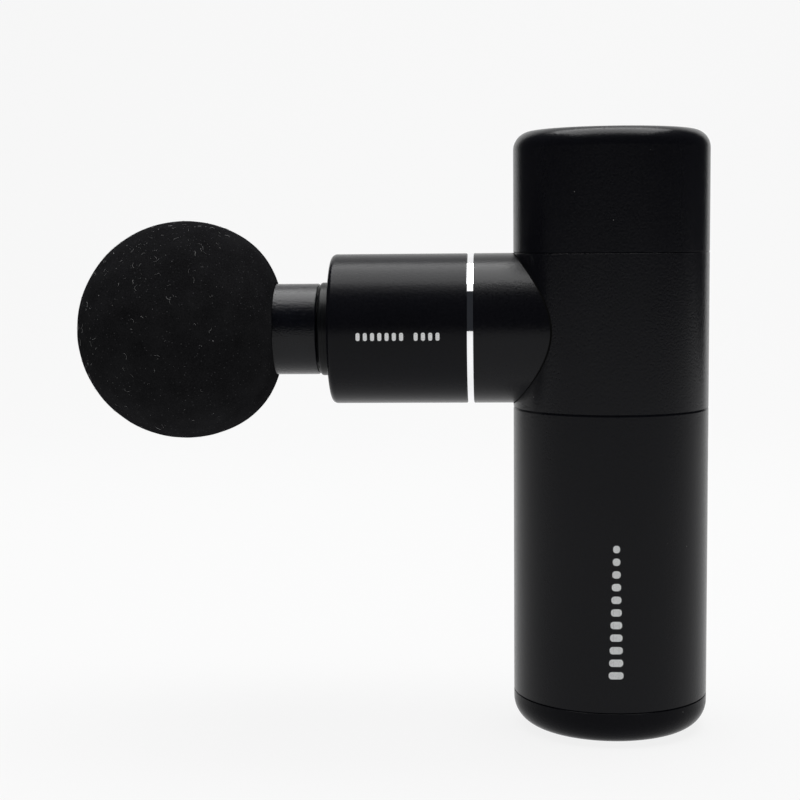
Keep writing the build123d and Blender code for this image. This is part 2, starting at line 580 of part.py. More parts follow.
# ---- Connecting rod: its small end has side room for the half turn that it makes
BIG_EYE_R = 6.6
ARM_W = 6.0
SIDE_ROOM = THROW + 0.4
PIN_ROOM = 0.9
SLOT_L = 2 * WRIST_PIN_R + SIDE_ROOM
SLOT_W = 2 * (WRIST_PIN_R + PIN_ROOM)
SLOT_Y = -THROW / 2
SMALL_END_WALL = 1.6
SMALL_END_R = 3.6
ARM_FROM = -WRIST_X + 2.9
ARM_TO = -1.25
POCKET_L = 24.0
POCKET_W = 3.0
POCKET_X = -19.0
POCKET_DEPTH = 1.2
with BuildPart() as connecting_rod:
    with BuildSketch(Plane.XY.offset(ROD_Z)):
        with Locations((THROW, 0)):
            Circle(BIG_EYE_R)
        with Locations(((ARM_FROM + ARM_TO) / 2, 0)):
            Rectangle(ARM_TO - ARM_FROM, ARM_W)
        with Locations((-WRIST_X, SLOT_Y)):
            RectangleRounded(SLOT_W + 2 * SMALL_END_WALL, SLOT_L + 2 * SMALL_END_WALL, SMALL_END_R)
        with Locations((THROW, 0)):
            Circle(BIG_END_R, mode=Mode.SUBTRACT)
        with Locations((-WRIST_X, SLOT_Y)):
            RectangleRounded(SLOT_W, SLOT_L, WRIST_PIN_R + 0.1, mode=Mode.SUBTRACT)
    extrude(amount=ROD_T)
    for pocket_z, way in ((ROD_Z, 1), (ROD_Z + ROD_T, -1)):
        with BuildSketch(Plane.XY.offset(pocket_z)):
            with Locations((POCKET_X, 0)):
                SlotOverall(POCKET_L, POCKET_W)
        extrude(amount=way * POCKET_DEPTH, mode=Mode.SUBTRACT)
connecting_rod.part.label = "connecting_rod"
export_step(connecting_rod.part, "parts/connecting_rod.step")

# ---- Plunger: turned sleeve with the head's socket in front and the wrist pin behind
PLUNGER_EDGE_R = 0.7
with BuildPart() as plunger:
    disc(BARREL.offset(PLUNGER_REAR), PLUNGER_R, PLUNGER_FRONT - PLUNGER_REAR)
    fillet(plunger.edges().sort_by(Axis.X)[0], PLUNGER_EDGE_R)
    disc(BARREL.offset(PLUNGER_FRONT), SOCKET_R, -SOCKET_DEPTH, Mode.SUBTRACT)
    disc(BARREL.offset(PLUNGER_REAR), SOCKET_R, CAVITY_DEPTH, Mode.SUBTRACT)
    with BuildSketch(Plane.XY.offset(AXIS_Z)):
        with Locations((-WRIST_X, 0)):
            Circle(WRIST_PIN_R)
    extrude(amount=PLUNGER_R + 1, both=True, mode=Mode.SUBTRACT)
plunger.part.label = "plunger"
export_step(plunger.part, "parts/plunger.step")

# ---- Wrist pin: hardened pin pressed across the plunger's rear wall
with BuildPart() as wrist_pin:
    with BuildSketch(Plane.XY.offset(AXIS_Z - WRIST_PIN_L / 2)):
        with Locations((-WRIST_X, 0)):
            Circle(WRIST_PIN_R)
    extrude(amount=WRIST_PIN_L)
    chamfer(wrist_pin.edges().filter_by(GeomType.CIRCLE), 0.25)
wrist_pin.part.label = "wrist_pin"
export_step(wrist_pin.part, "parts/wrist_pin.step")

# ---- Head stem: one moulding with a shank for the socket, a collar and a core inside the ball
COLLAR_REAR = PLUNGER_FRONT + 0.25
COLLAR_EDGE_R = 0.4
NECK_X = 77.7
SHANK_END = 50.0
SHANK_WALL = 2.6
SHANK_CHAMFER = 0.8
CORE_END = 92.0
CORE_CLOSURE_T = 2.0
CORE_R = 9.0
O_RING_SPOTS = (53.5, 58.5)
O_RING_MINOR = 0.85
O_RING_MAJOR = SOCKET_R - RUNNING_GAP - O_RING_MINOR
with BuildPart() as head_stem:
    disc(BARREL.offset(SHANK_END), SHANK_R, COLLAR_REAR - SHANK_END)
    chamfer(head_stem.edges().sort_by(Axis.X)[-1], SHANK_CHAMFER)
    disc(BARREL.offset(COLLAR_REAR), STEM_R, NECK_X - COLLAR_REAR)
    collar_edges = head_stem.edges().filter_by(GeomType.CIRCLE).sort_by(SortBy.RADIUS)[-2:]
    fillet(collar_edges.sort_by(Axis.X)[-1], COLLAR_EDGE_R)
    disc(BARREL.offset(NECK_X), CORE_R, CORE_END - NECK_X)
    disc(BARREL.offset(SHANK_END), SHANK_R - SHANK_WALL, CORE_END - CORE_CLOSURE_T - SHANK_END, Mode.SUBTRACT)
    for distance in O_RING_SPOTS:
        with BuildSketch(BARREL.offset(distance - O_RING_MINOR)):
            Circle(SHANK_R)
            Circle(O_RING_MAJOR - O_RING_MINOR, mode=Mode.SUBTRACT)
        extrude(amount=2 * O_RING_MINOR, mode=Mode.SUBTRACT)
head_stem.part.label = "head_stem"
export_step(head_stem.part, "parts/head_stem.step")

# ---- Head O-rings: they grip the socket so that the head pulls off by hand
with BuildPart() as head_o_rings:
    for distance in O_RING_SPOTS:
        with BuildSketch(SIDE):
            with Locations((-distance, AXIS_Z + O_RING_MAJOR)):
                Circle(O_RING_MINOR)
        revolve(axis=BARREL_AXIS)
head_o_rings.part.label = "head_o_rings"
export_step(head_o_rings.part, "parts/head_o_rings.step")

# ---- Ball head: soft foam ball, a little flattened where it meets the stem's collar
BALL_TURN = 60.0
POLE = (-BALL_X - BALL_R, AXIS_Z)
SIDE_POINT = (-BALL_X, AXIS_Z + BALL_R)
TURN_POINT = Vector(-BALL_X, AXIS_Z) + Vector(BALL_R, 0).rotate(Axis.Z, BALL_TURN)
NECK_POINT = (-NECK_X, AXIS_Z + STEM_R + 0.05)
with BuildPart() as ball_head:
    with BuildSketch(SIDE):
        with BuildLine():
            ThreePointArc(POLE, (-BALL_X - BALL_R * 0.8, AXIS_Z + BALL_R * 0.6), SIDE_POINT)
            ThreePointArc(SIDE_POINT, (-BALL_X + BALL_R * 0.28, AXIS_Z + BALL_R * 0.96), TURN_POINT)
            TangentArc(TURN_POINT, NECK_POINT, tangent=Vector(1, 0).rotate(Axis.Z, BALL_TURN - 90))
            Line(NECK_POINT, (-NECK_X, AXIS_Z))
            Line((-NECK_X, AXIS_Z), POLE)
        make_face()
    revolve(axis=BARREL_AXIS)
    disc(BARREL.offset(NECK_X), CORE_R, CORE_END - NECK_X, Mode.SUBTRACT)
ball_head.part.label = "ball_head"
export_step(ball_head.part, "parts/ball_head.step")

# ---- Battery cells: two standard round cells side by side in the handle
CELL_R = 9.15
PLATE_Z = BASE_SEAM + 3.4
PLATE_T = 2.0
TAB_T = 0.2
TAB_GAP = 0.05
CELL_Z = PLATE_Z + PLATE_T + TAB_T + TAB_GAP
CELL_TOP = LEDGE_TOP - TAB_T - TAB_GAP
CELL_EDGE_R = 0.5
CELL_SPOTS = [(-1.0, 9.35), (-1.0, -9.35)]
with BuildPart() as battery_cells:
    with BuildSketch(Plane.XY.offset(CELL_Z)):
        with Locations(*CELL_SPOTS):
            Circle(CELL_R)
    extrude(amount=CELL_TOP - CELL_Z)
    fillet(battery_cells.edges().filter_by(GeomType.CIRCLE), CELL_EDGE_R)
battery_cells.part.label = "battery_cells"
export_step(battery_cells.part, "parts/battery_cells.step")

# ---- Battery carrier: end plates, a spine for the control board, a front rail and screw posts
SPINE_X = 8.5
SPINE_T = 1.5
SPINE_W = 28.0
RAIL_X = -12.5
RAIL_T = 3.0
RAIL_W = 6.0
TOP_PLATE_T = 1.8
BOARD_X = 12.0
BOARD_T = 1.6
BOARD_Z = 15.5
BOARD_TOP = 76.0
BOARD_W = 25.2
BOARD_SCREW_SPOTS = [(10.4, 21.5), (-10.4, 21.5), (10.4, 69.5), (-10.4, 69.5)]
BOARD_SCREW_R = 1.0
BOARD_BOSS_R = 2.2
BOARD_HOLE_DEPTH = 3.0
BASE_POST_R = 2.7
WIRE_NOTCH_L = 8.0
WIRE_NOTCH_W = 11.0
LEAD_R = 0.6
LEAD_SPOTS = [(9.35, 75.0), (-9.35, 75.0), (9.35, 17.5)]
with BuildPart() as battery_carrier:
    disc(Plane.XY.offset(PLATE_Z), SPIGOT_BORE_R - PLATE_GAP, PLATE_T)
    disc(Plane.XY.offset(LEDGE_TOP), BORE_R - PLATE_GAP, TOP_PLATE_T)
    with BuildSketch(Plane.XY.offset(PLATE_Z)):
        with Locations((SPINE_X + SPINE_T / 2, 0)):
            Rectangle(SPINE_T, SPINE_W)
        with Locations((RAIL_X, 0)):
            Rectangle(RAIL_T, RAIL_W)
    extrude(amount=LEDGE_TOP - PLATE_Z)
    with BuildSketch(BACK.offset(SPINE_X + SPINE_T)):
        with Locations(*BOARD_SCREW_SPOTS):
            Circle(BOARD_BOSS_R)
    extrude(amount=BOARD_X - SPINE_X - SPINE_T)
    with BuildSketch(BACK.offset(BOARD_X)):
        with Locations(*BOARD_SCREW_SPOTS):
            Circle(BOARD_SCREW_R)
    extrude(amount=-BOARD_HOLE_DEPTH, mode=Mode.SUBTRACT)
    with BuildSketch(BACK.offset(SPINE_X)):
        with Locations(*LEAD_SPOTS):
            Circle(LEAD_R)
    extrude(amount=SPINE_T, mode=Mode.SUBTRACT)
    with BuildSketch(Plane.XY.offset(CAP_FLOOR_TOP)):
        with Locations(*BASE_SCREW_SPOTS):
            Circle(BASE_POST_R)
    extrude(amount=PLATE_Z - CAP_FLOOR_TOP)
    with BuildSketch(Plane.XY.offset(CAP_FLOOR_TOP)):
        with Locations(*BASE_SCREW_SPOTS):
            Circle(BASE_SCREW_R)
    extrude(amount=BASE_SCREW_L, mode=Mode.SUBTRACT)
    with BuildSketch(Plane.XY.offset(LEDGE_TOP)):
        with Locations((WIRE_X, 0)):
            Rectangle(WIRE_NOTCH_L, WIRE_NOTCH_W)
    extrude(amount=TOP_PLATE_T, mode=Mode.SUBTRACT)
battery_carrier.part.label = "battery_carrier"
export_step(battery_carrier.part, "parts/battery_carrier.step")

# ---- Cell tabs: nickel strips on the cell ends, each with an ear that meets a lead
EAR_X = SPINE_X - 0.1
EAR_W = 4.0
STRIP_X = -5.0
LINK_W = 24.0
STRIP_W = 8.0
with BuildPart() as cell_tabs:
    with BuildSketch(Plane.XY.offset(CELL_Z - TAB_T)):
        with Locations(((EAR_X + STRIP_X) / 2, 0)):
            Rectangle(EAR_X - STRIP_X, LINK_W)
    extrude(amount=TAB_T)
    with BuildSketch(Plane.XY.offset(CELL_TOP)):
        with Locations(*[((EAR_X + STRIP_X) / 2, y) for x, y in CELL_SPOTS]):
            Rectangle(EAR_X - STRIP_X, STRIP_W)
    extrude(amount=TAB_T)
    for y, z in LEAD_SPOTS:
        strip_z = CELL_TOP + TAB_T if z > CELL_TOP / 2 else CELL_Z - TAB_T
        with BuildSketch(BACK.offset(EAR_X)):
            with Locations((y, (z + strip_z) / 2)):
                Rectangle(EAR_W, abs(strip_z - z))
            with Locations((y, z)):
                Circle(EAR_W / 2)
        extrude(amount=-TAB_T)
cell_tabs.part.label = "cell_tabs"
export_step(cell_tabs.part, "parts/cell_tabs.step")

# ---- Battery leads: short stubs from the ears through the spine to the board
with BuildPart() as battery_leads:
    with BuildSketch(BACK.offset(EAR_X)):
        with Locations(*LEAD_SPOTS):
            Circle(LEAD_R)
    extrude(amount=BOARD_X - EAR_X)
battery_leads.part.label = "battery_leads"
export_step(battery_leads.part, "parts/battery_leads.step")

# ---- Control board and the screws that hold it to the carrier
BOARD_FACE = BOARD_X + BOARD_T
BOARD_CORNER_R = 2.0
BOARD_SCREW_L = 4.4
with BuildPart() as control_board:
    with BuildSketch(BACK.offset(BOARD_X)):
        with Locations((0, (BOARD_Z + BOARD_TOP) / 2)):
            RectangleRounded(BOARD_W, BOARD_TOP - BOARD_Z, BOARD_CORNER_R)
        with Locations(*BOARD_SCREW_SPOTS):
            Circle(BOARD_SCREW_R, mode=Mode.SUBTRACT)
    extrude(amount=BOARD_T)
control_board.part.label = "control_board"
export_step(control_board.part, "parts/control_board.step")

board_screws = screws(BACK.offset(BOARD_FACE), BOARD_SCREW_SPOTS, 1.9, 1.2, BOARD_SCREW_R, BOARD_SCREW_L)
board_screws.part.label = "board_screws"
export_step(board_screws.part, "parts/board_screws.step")

# ---- Charging receptacle: an upright metal shell with the contact tongue inside
PORT_X = 21.6
PORT_WALL = 0.3
PORT_BACK_T = 1.0
TONGUE_T = 0.7
TONGUE_W = 6.6
TONGUE_END = PORT_X - 0.6
with BuildPart() as usb_c_receptacle:
    with BuildSketch(BACK.offset(BOARD_FACE)):
        with Locations((0, PORT_Z)):
            SlotOverall(PORT_L, PORT_W, rotation=90)
    extrude(amount=PORT_X - BOARD_FACE)
    with BuildSketch(BACK.offset(BOARD_FACE + PORT_BACK_T)):
        with Locations((0, PORT_Z)):
            SlotOverall(PORT_L - 2 * PORT_WALL, PORT_W - 2 * PORT_WALL, rotation=90)
    extrude(amount=PORT_X - BOARD_FACE, mode=Mode.SUBTRACT)
usb_c_receptacle.part.label = "usb_c_receptacle"
export_step(usb_c_receptacle.part, "parts/usb_c_receptacle.step")

with BuildPart() as usb_c_tongue:
    with BuildSketch(BACK.offset(BOARD_FACE + PORT_BACK_T)):
        with Locations((0, PORT_Z)):
            Rectangle(TONGUE_T, TONGUE_W)
    extrude(amount=TONGUE_END - BOARD_FACE - PORT_BACK_T)
usb_c_tongue.part.label = "usb_c_tongue"
export_step(usb_c_tongue.part, "parts/usb_c_tongue.step")

# ---- Tact switch behind the power button
SWITCH_W = 6.0
SWITCH_BODY_H = 3.0
SWITCH_NUB_R = 1.6
SWITCH_NUB_H = 0.6
with BuildPart() as tact_switch:
    with BuildSketch(BACK.offset(BOARD_FACE)):
        with Locations((0, BUTTON_Z)):
            Rectangle(SWITCH_W, SWITCH_W)
    extrude(amount=SWITCH_BODY_H)
    with BuildSketch(BACK.offset(BOARD_FACE + SWITCH_BODY_H)):
        with Locations((0, BUTTON_Z)):
            Circle(SWITCH_NUB_R)
    extrude(amount=SWITCH_NUB_H)
tact_switch.part.label = "tact_switch"
export_step(tact_switch.part, "parts/tact_switch.step")

# ---- Power button: flush with the handle's curve, with a flange inside the shell and a stem
BUTTON_TRAVEL = 0.6
BUTTON_STEM_R = 1.5
BUTTON_FLANGE_X = 18.2
BUTTON_FLANGE_T = 0.9
BUTTON_FLANGE_R = BUTTON_R + 1.1
BUTTON_STEM_X = BOARD_FACE + SWITCH_BODY_H + SWITCH_NUB_H + BUTTON_TRAVEL + 0.1
FLUSH_R = HANDLE_R - 0.02
with BuildPart() as power_button:
    with BuildSketch(BACK.offset(BUTTON_FLANGE_X)):
        with Locations((0, BUTTON_Z)):
            Circle(BUTTON_R)
    extrude(amount=HANDLE_R - BUTTON_FLANGE_X)
    with BuildSketch(BACK.offset(BUTTON_STEM_X)):
        with Locations((0, BUTTON_Z)):
            Circle(BUTTON_STEM_R)
    extrude(amount=BUTTON_FLANGE_X - BUTTON_STEM_X)
    Cylinder(FLUSH_R, TOTAL_H, align=(Align.CENTER, Align.CENTER, Align.MIN), mode=Mode.INTERSECT)
    with BuildSketch(BACK.offset(BUTTON_FLANGE_X)):
        with Locations((0, BUTTON_Z)):
            Circle(BUTTON_FLANGE_R)
    extrude(amount=BUTTON_FLANGE_T)
power_button.part.label = "power_button"
export_step(power_button.part, "parts/power_button.step")

# ---- Status lights on the board, and the light pipes that carry them to the handle's surface
LED_W = 0.8
LED_L = 1.6
PIPE_END_X = BOARD_FACE + 1.0
PIPE_STRIP_X = 17.4
PIPE_STRIP_T = 1.0
PIPE_STRIP_W = 3.2
PIPE_STRIP_MARGIN = 1.2
with BuildPart() as status_leds:
    with BuildSketch(BACK.offset(BOARD_FACE)):
        with Locations(*[(0, z) for z in LED_ZS]):
            Rectangle(LED_W, LED_L)
    extrude(amount=LED_W)
status_leds.part.label = "status_leds"
export_step(status_leds.part, "parts/status_leds.step")

with BuildPart() as light_pipes:
    with BuildSketch(BACK.offset(PIPE_END_X)):
        with Locations(*[(0, z) for z in LED_ZS]):
            Circle(PIPE_R)
    extrude(amount=HANDLE_R - PIPE_END_X)
    with BuildSketch(BACK.offset(PIPE_STRIP_X)):
        with Locations((0, (LED_ZS[0] + LED_ZS[-1]) / 2)):
            Rectangle(PIPE_STRIP_W, LED_ZS[-1] - LED_ZS[0] + 2 * PIPE_STRIP_MARGIN)
    extrude(amount=PIPE_STRIP_T)
    Cylinder(FLUSH_R, TOTAL_H, align=(Align.CENTER, Align.CENTER, Align.MIN), mode=Mode.INTERSECT)
light_pipes.part.label = "light_pipes"
export_step(light_pipes.part, "parts/light_pipes.step")

# ---- Power transistors, capacitors and the controller chip on the board
MOSFET_SPOTS = [(y, z) for y in (-8.0, 8.0) for z in (38.0, 45.0, 52.0)]
MOSFET_W = 5.0
MOSFET_L = 6.0
MOSFET_H = 1.1
with BuildPart() as power_mosfets:
    with BuildSketch(BACK.offset(BOARD_FACE)):
        with Locations(*MOSFET_SPOTS):
            Rectangle(MOSFET_W, MOSFET_L)
    extrude(amount=MOSFET_H)
power_mosfets.part.label = "power_mosfets"
export_step(power_mosfets.part, "parts/power_mosfets.step")

CAPACITOR_SPOTS = [(4.5, 31.5), (-4.5, 31.5)]
CAPACITOR_R = 2.5
CAPACITOR_H = 4.5
CAPACITOR_EDGE_R = 0.3
with BuildPart() as board_capacitors:
    with BuildSketch(BACK.offset(BOARD_FACE)):
        with Locations(*CAPACITOR_SPOTS):
            Circle(CAPACITOR_R)
    extrude(amount=CAPACITOR_H)
    fillet(board_capacitors.edges().group_by(Axis.X)[-1], CAPACITOR_EDGE_R)
board_capacitors.part.label = "board_capacitors"
export_step(board_capacitors.part, "parts/board_capacitors.step")

CHIP_SPOT = (-8.0, 61.5)
CHIP_W = 7.0
CHIP_H = 1.0
with BuildPart() as controller_chip:
    with BuildSketch(BACK.offset(BOARD_FACE)):
        with Locations(CHIP_SPOT):
            Rectangle(CHIP_W, CHIP_W)
    extrude(amount=CHIP_H)
controller_chip.part.label = "controller_chip"
export_step(controller_chip.part, "parts/controller_chip.step")

# ---- Motor wires: three insulated leads from the windings down the back to the board
WIRE_R = 0.75
WIRE_START_X = 9.0
WIRE_TOP_Z = MOTOR_BASE_Z + MOTOR_BASE_T + WIRE_R
WIRE_END_Z = BOARD_TOP - 1.9
WIRE_BEND_R = 2.0
with BuildPart() as motor_wires:
    for y in (-3.0, 0.0, 3.0):
        with BuildLine() as route:
            FilletPolyline(
                (WIRE_START_X, y, WIRE_TOP_Z),
                (WIRE_X, y, WIRE_TOP_Z),
                (WIRE_X, y, WIRE_END_Z),
                (BOARD_FACE, y, WIRE_END_Z),
                radius=WIRE_BEND_R,
            )
        with BuildSketch(Plane(origin=(WIRE_START_X, y, WIRE_TOP_Z), z_dir=(1, 0, 0))):
            Circle(WIRE_R)
        sweep(path=route.wires()[0])
motor_wires.part.label = "motor_wires"
export_step(motor_wires.part, "parts/motor_wires.step")
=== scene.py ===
import bmesh
import bpy
import math
from mathutils import Matrix, Vector, noise


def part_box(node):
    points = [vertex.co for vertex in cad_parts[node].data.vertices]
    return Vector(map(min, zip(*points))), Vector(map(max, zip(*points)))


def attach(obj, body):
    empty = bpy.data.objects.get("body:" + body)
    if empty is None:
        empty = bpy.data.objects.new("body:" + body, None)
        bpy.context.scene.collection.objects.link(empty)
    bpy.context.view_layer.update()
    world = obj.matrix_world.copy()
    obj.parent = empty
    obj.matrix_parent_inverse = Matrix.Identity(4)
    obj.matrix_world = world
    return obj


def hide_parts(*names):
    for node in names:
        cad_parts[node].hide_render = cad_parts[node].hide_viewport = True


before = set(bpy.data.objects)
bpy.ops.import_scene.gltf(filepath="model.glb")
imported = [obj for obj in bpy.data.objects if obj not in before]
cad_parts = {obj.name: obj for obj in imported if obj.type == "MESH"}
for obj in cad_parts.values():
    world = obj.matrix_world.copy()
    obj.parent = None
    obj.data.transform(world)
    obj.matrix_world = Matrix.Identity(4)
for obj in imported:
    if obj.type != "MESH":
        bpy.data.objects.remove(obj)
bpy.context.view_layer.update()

# Studio: the massager stands on a pale, softly glowing sweep that curves up behind it, under
# a wide softbox with a dimmer skirt at its front. The room around is dark, and a long-lens
# camera stands a little above the barrel. Lengths named here are in metres.
MM = 0.001
SWEEP_HALF_W = 1.7
WALL_HALF_W = 0.64
SWEEP_FRONT = -3.2
SWEEP_BACK = 0.55
SWEEP_BEND = 0.35
SWEEP_RISE = 1.7
SWEEP_GREY = (0.07, 0.07, 0.07, 1.0)
SWEEP_GLOW = 0.855
SWEEP_CLEAR = 0.05 * MM
SWEEP_BEND_STEPS = 24
WELD = 0.01 * MM
PAPER_ROUGH = 0.9

sweep_mesh = bmesh.new()
bmesh.ops.create_grid(sweep_mesh, x_segments=1, y_segments=1, size=1.0)
bmesh.ops.scale(sweep_mesh, vec=(SWEEP_HALF_W, (SWEEP_BACK - SWEEP_FRONT) / 2, 1.0),
                verts=sweep_mesh.verts)
bmesh.ops.translate(sweep_mesh, vec=(0.0, (SWEEP_BACK + SWEEP_FRONT) / 2, 0.0), verts=sweep_mesh.verts)
for side in (-1, 1):
    whole_sweep = sweep_mesh.verts[:] + sweep_mesh.edges[:] + sweep_mesh.faces[:]
    bmesh.ops.bisect_plane(sweep_mesh, geom=whole_sweep, plane_co=(side * WALL_HALF_W, 0, 0),
                           plane_no=(1, 0, 0))
back_edge = [e for e in sweep_mesh.edges
             if all(v.co.y > SWEEP_BACK - MM and abs(v.co.x) < WALL_HALF_W + MM for v in e.verts)]
bend = bmesh.ops.spin(sweep_mesh, geom=back_edge + list(back_edge[0].verts),
                      cent=(0, SWEEP_BACK, SWEEP_BEND), axis=(1, 0, 0), dvec=(0, 0, 0),
                      angle=math.radians(90), steps=SWEEP_BEND_STEPS)
top_edge = [g for g in bend["geom_last"] if isinstance(g, bmesh.types.BMEdge)]
wall = bmesh.ops.extrude_edge_only(sweep_mesh, edges=top_edge)
wall_top = [g for g in wall["geom"] if isinstance(g, bmesh.types.BMVert)]
bmesh.ops.translate(sweep_mesh, vec=(0, 0, SWEEP_RISE), verts=wall_top)
bmesh.ops.remove_doubles(sweep_mesh, verts=sweep_mesh.verts, dist=WELD)
bmesh.ops.translate(sweep_mesh, vec=(0, 0, -SWEEP_CLEAR), verts=sweep_mesh.verts)
for face in sweep_mesh.faces:
    face.smooth = True
sweep_data = bpy.data.meshes.new("studio_sweep")
sweep_mesh.to_mesh(sweep_data)
sweep_mesh.free()
sweep = bpy.data.objects.new("studio_sweep", sweep_data)
bpy.context.scene.collection.objects.link(sweep)
sweep_paper = bpy.data.materials.new("sweep_paper")
sweep_paper.use_nodes = True
paper_shader = sweep_paper.node_tree.nodes["Principled BSDF"]
paper_shader.inputs["Base Color"].default_value = SWEEP_GREY
paper_shader.inputs["Roughness"].default_value = PAPER_ROUGH
paper_shader.inputs["Specular IOR Level"].default_value = 0.0
paper_shader.inputs["Emission Color"].default_value = (1.0, 1.0, 1.0, 1.0)
paper_shader.inputs["Emission Strength"].default_value = SWEEP_GLOW

# The paper is seen only from its upper side, so that the foot shows from below.
paper_nodes, paper_links = sweep_paper.node_tree.nodes, sweep_paper.node_tree.links
from_below = paper_nodes.new("ShaderNodeNewGeometry")
clear = paper_nodes.new("ShaderNodeBsdfTransparent")
one_way = paper_nodes.new("ShaderNodeMixShader")
paper_links.new(from_below.outputs["Backfacing"], one_way.inputs["Fac"])
paper_links.new(paper_shader.outputs["BSDF"], one_way.inputs[1])
paper_links.new(clear.outputs["BSDF"], one_way.inputs[2])
paper_links.new(one_way.outputs["Shader"], paper_nodes["Material Output"].inputs["Surface"])
sweep_data.materials.append(sweep_paper)

# Name, place, what it faces, width, depth and power in watts.
LAMPS = (
    ("softbox", (-0.02, 0.115, 0.98), (-0.02, 0.115, 0.0), 1.05, 0.77, 17.0),
    ("softbox_skirt", (-0.02, -0.385, 0.98), (-0.02, -0.385, 0.0), 1.05, 0.23, 0.9),
)
DARK_ROOM = (0.020, 0.0215, 0.025, 1.0)
PALE_ROOM = (0.93, 0.93, 0.93, 1.0)
for lamp_name, place, target, width, depth, power in LAMPS:
    lamp_data = bpy.data.lights.new(lamp_name, "AREA")
    lamp_data.shape = "RECTANGLE"
    lamp_data.size = width
    lamp_data.size_y = depth
    lamp_data.energy = power
    lamp = bpy.data.objects.new(lamp_name, lamp_data)
    lamp.location = place
    lamp.rotation_euler = (Vector(target) - Vector(place)).to_track_quat("-Z", "Y").to_euler()
    bpy.context.scene.collection.objects.link(lamp)

air = bpy.data.worlds.new("studio_air")
air.use_nodes = True
dark_room = air.node_tree.nodes["Background"]
dark_room.inputs["Color"].default_value = DARK_ROOM
pale_room = air.node_tree.nodes.new("ShaderNodeBackground")
pale_room.inputs["Color"].default_value = PALE_ROOM
seen = air.node_tree.nodes.new("ShaderNodeLightPath")
room = air.node_tree.nodes.new("ShaderNodeMixShader")
air.node_tree.links.new(seen.outputs["Is Camera Ray"], room.inputs["Fac"])
air.node_tree.links.new(dark_room.outputs["Background"], room.inputs[1])
air.node_tree.links.new(pale_room.outputs["Background"], room.inputs[2])
air.node_tree.links.new(room.outputs["Shader"], air.node_tree.nodes["World Output"].inputs["Surface"])
bpy.context.scene.world = air
bpy.context.scene.view_settings.view_transform = "Standard"

LENS_MM = 75.09
SENSOR_MM = 36.0
NEAR_CUT = 0.01
CAMERA_PLACE = (-25.58 * MM, -389.16 * MM, 114.26 * MM)
CAMERA_TURN = math.radians(3.459)
CAMERA_DIP = math.radians(5.517)
CAMERA_ROLL = math.radians(0.508)
camera_data = bpy.data.cameras.new("studio_camera")
camera_data.lens = LENS_MM
camera_data.sensor_width = SENSOR_MM
camera_data.clip_start = NEAR_CUT
camera = bpy.data.objects.new("studio_camera", camera_data)
camera.location = CAMERA_PLACE
aim = (Matrix.Rotation(CAMERA_TURN, 3, "Z") @ Matrix.Rotation(math.radians(90) - CAMERA_DIP, 3, "X")
       @ Matrix.Rotation(-CAMERA_ROLL, 3, "Z"))
camera.rotation_euler = aim.to_euler()
bpy.context.scene.collection.objects.link(camera)
bpy.context.scene.camera = camera


# Foot: a moulded cup with a well rounded edge closes the handle below, three screws hold it
# and a rubber disc covers them. The mouldings share one soft-touch paint, matt and very
# slightly cool, over a fine moulded grain.
BLOTCH_DETAIL = 2.0
BLOTCH_SHARE = 0.6
TONE_DARK_AT = 0.55
TONE_LIGHT_AT = 1.05
GRAIN_LOW = 0.3
GRAIN_HIGH = 0.7


def textured(name, light, dark, rough, rough_play, grain_mm, relief_mm, blotch_mm=8.0,
             stretch=(1, 1, 1), metallic=0.0, specular=0.5, detail=3.0):
    """A finish with broad tone changes, a fine grain in its gloss, and the grain as a relief."""
    finish = bpy.data.materials.new(name)
    finish.use_nodes = True
    nodes, links = finish.node_tree.nodes, finish.node_tree.links
    shader = nodes["Principled BSDF"]
    shader.inputs["Metallic"].default_value = metallic
    shader.inputs["Specular IOR Level"].default_value = specular
    place = nodes.new("ShaderNodeTexCoord")
    drawn = nodes.new("ShaderNodeMapping")
    drawn.inputs["Scale"].default_value = stretch
    links.new(place.outputs["Object"], drawn.inputs["Vector"])
    blotch = nodes.new("ShaderNodeTexNoise")
    blotch.name = "blotch"
    blotch.inputs["Scale"].default_value = 1.0 / (blotch_mm * MM)
    blotch.inputs["Detail"].default_value = BLOTCH_DETAIL
    grain = nodes.new("ShaderNodeTexNoise")
    grain.name = "grain"
    grain.inputs["Scale"].default_value = 1.0 / (grain_mm * MM)
    grain.inputs["Detail"].default_value = detail
    links.new(drawn.outputs["Vector"], blotch.inputs["Vector"])
    links.new(drawn.outputs["Vector"], grain.inputs["Vector"])
    spread = nodes.new("ShaderNodeMath")
    spread.operation = "MULTIPLY_ADD"
    spread.inputs[1].default_value = BLOTCH_SHARE
    links.new(blotch.outputs["Fac"], spread.inputs[0])
    links.new(grain.outputs["Fac"], spread.inputs[2])
    tone = nodes.new("ShaderNodeValToRGB")
    tone.name = "tone"
    tone.color_ramp.elements[0].position = TONE_DARK_AT
    tone.color_ramp.elements[0].color = (*dark, 1.0)
    tone.color_ramp.elements[1].position = TONE_LIGHT_AT
    tone.color_ramp.elements[1].color = (*light, 1.0)
    links.new(spread.outputs["Value"], tone.inputs["Fac"])
    links.new(tone.outputs["Color"], shader.inputs["Base Color"])
    gloss = nodes.new("ShaderNodeMapRange")
    gloss.inputs["From Min"].default_value = GRAIN_LOW
    gloss.inputs["From Max"].default_value = GRAIN_HIGH
    gloss.inputs["To Min"].default_value = rough - rough_play
    gloss.inputs["To Max"].default_value = rough + rough_play
    links.new(grain.outputs["Fac"], gloss.inputs["Value"])
    links.new(gloss.outputs["Result"], shader.inputs["Roughness"])
    relief = nodes.new("ShaderNodeBump")
    relief.name = "relief"
    relief.inputs["Strength"].default_value = 1.0
    relief.inputs["Distance"].default_value = relief_mm * MM
    links.new(grain.outputs["Fac"], relief.inputs["Height"])
    links.new(relief.outputs["Normal"], shader.inputs["Normal"])
    return finish


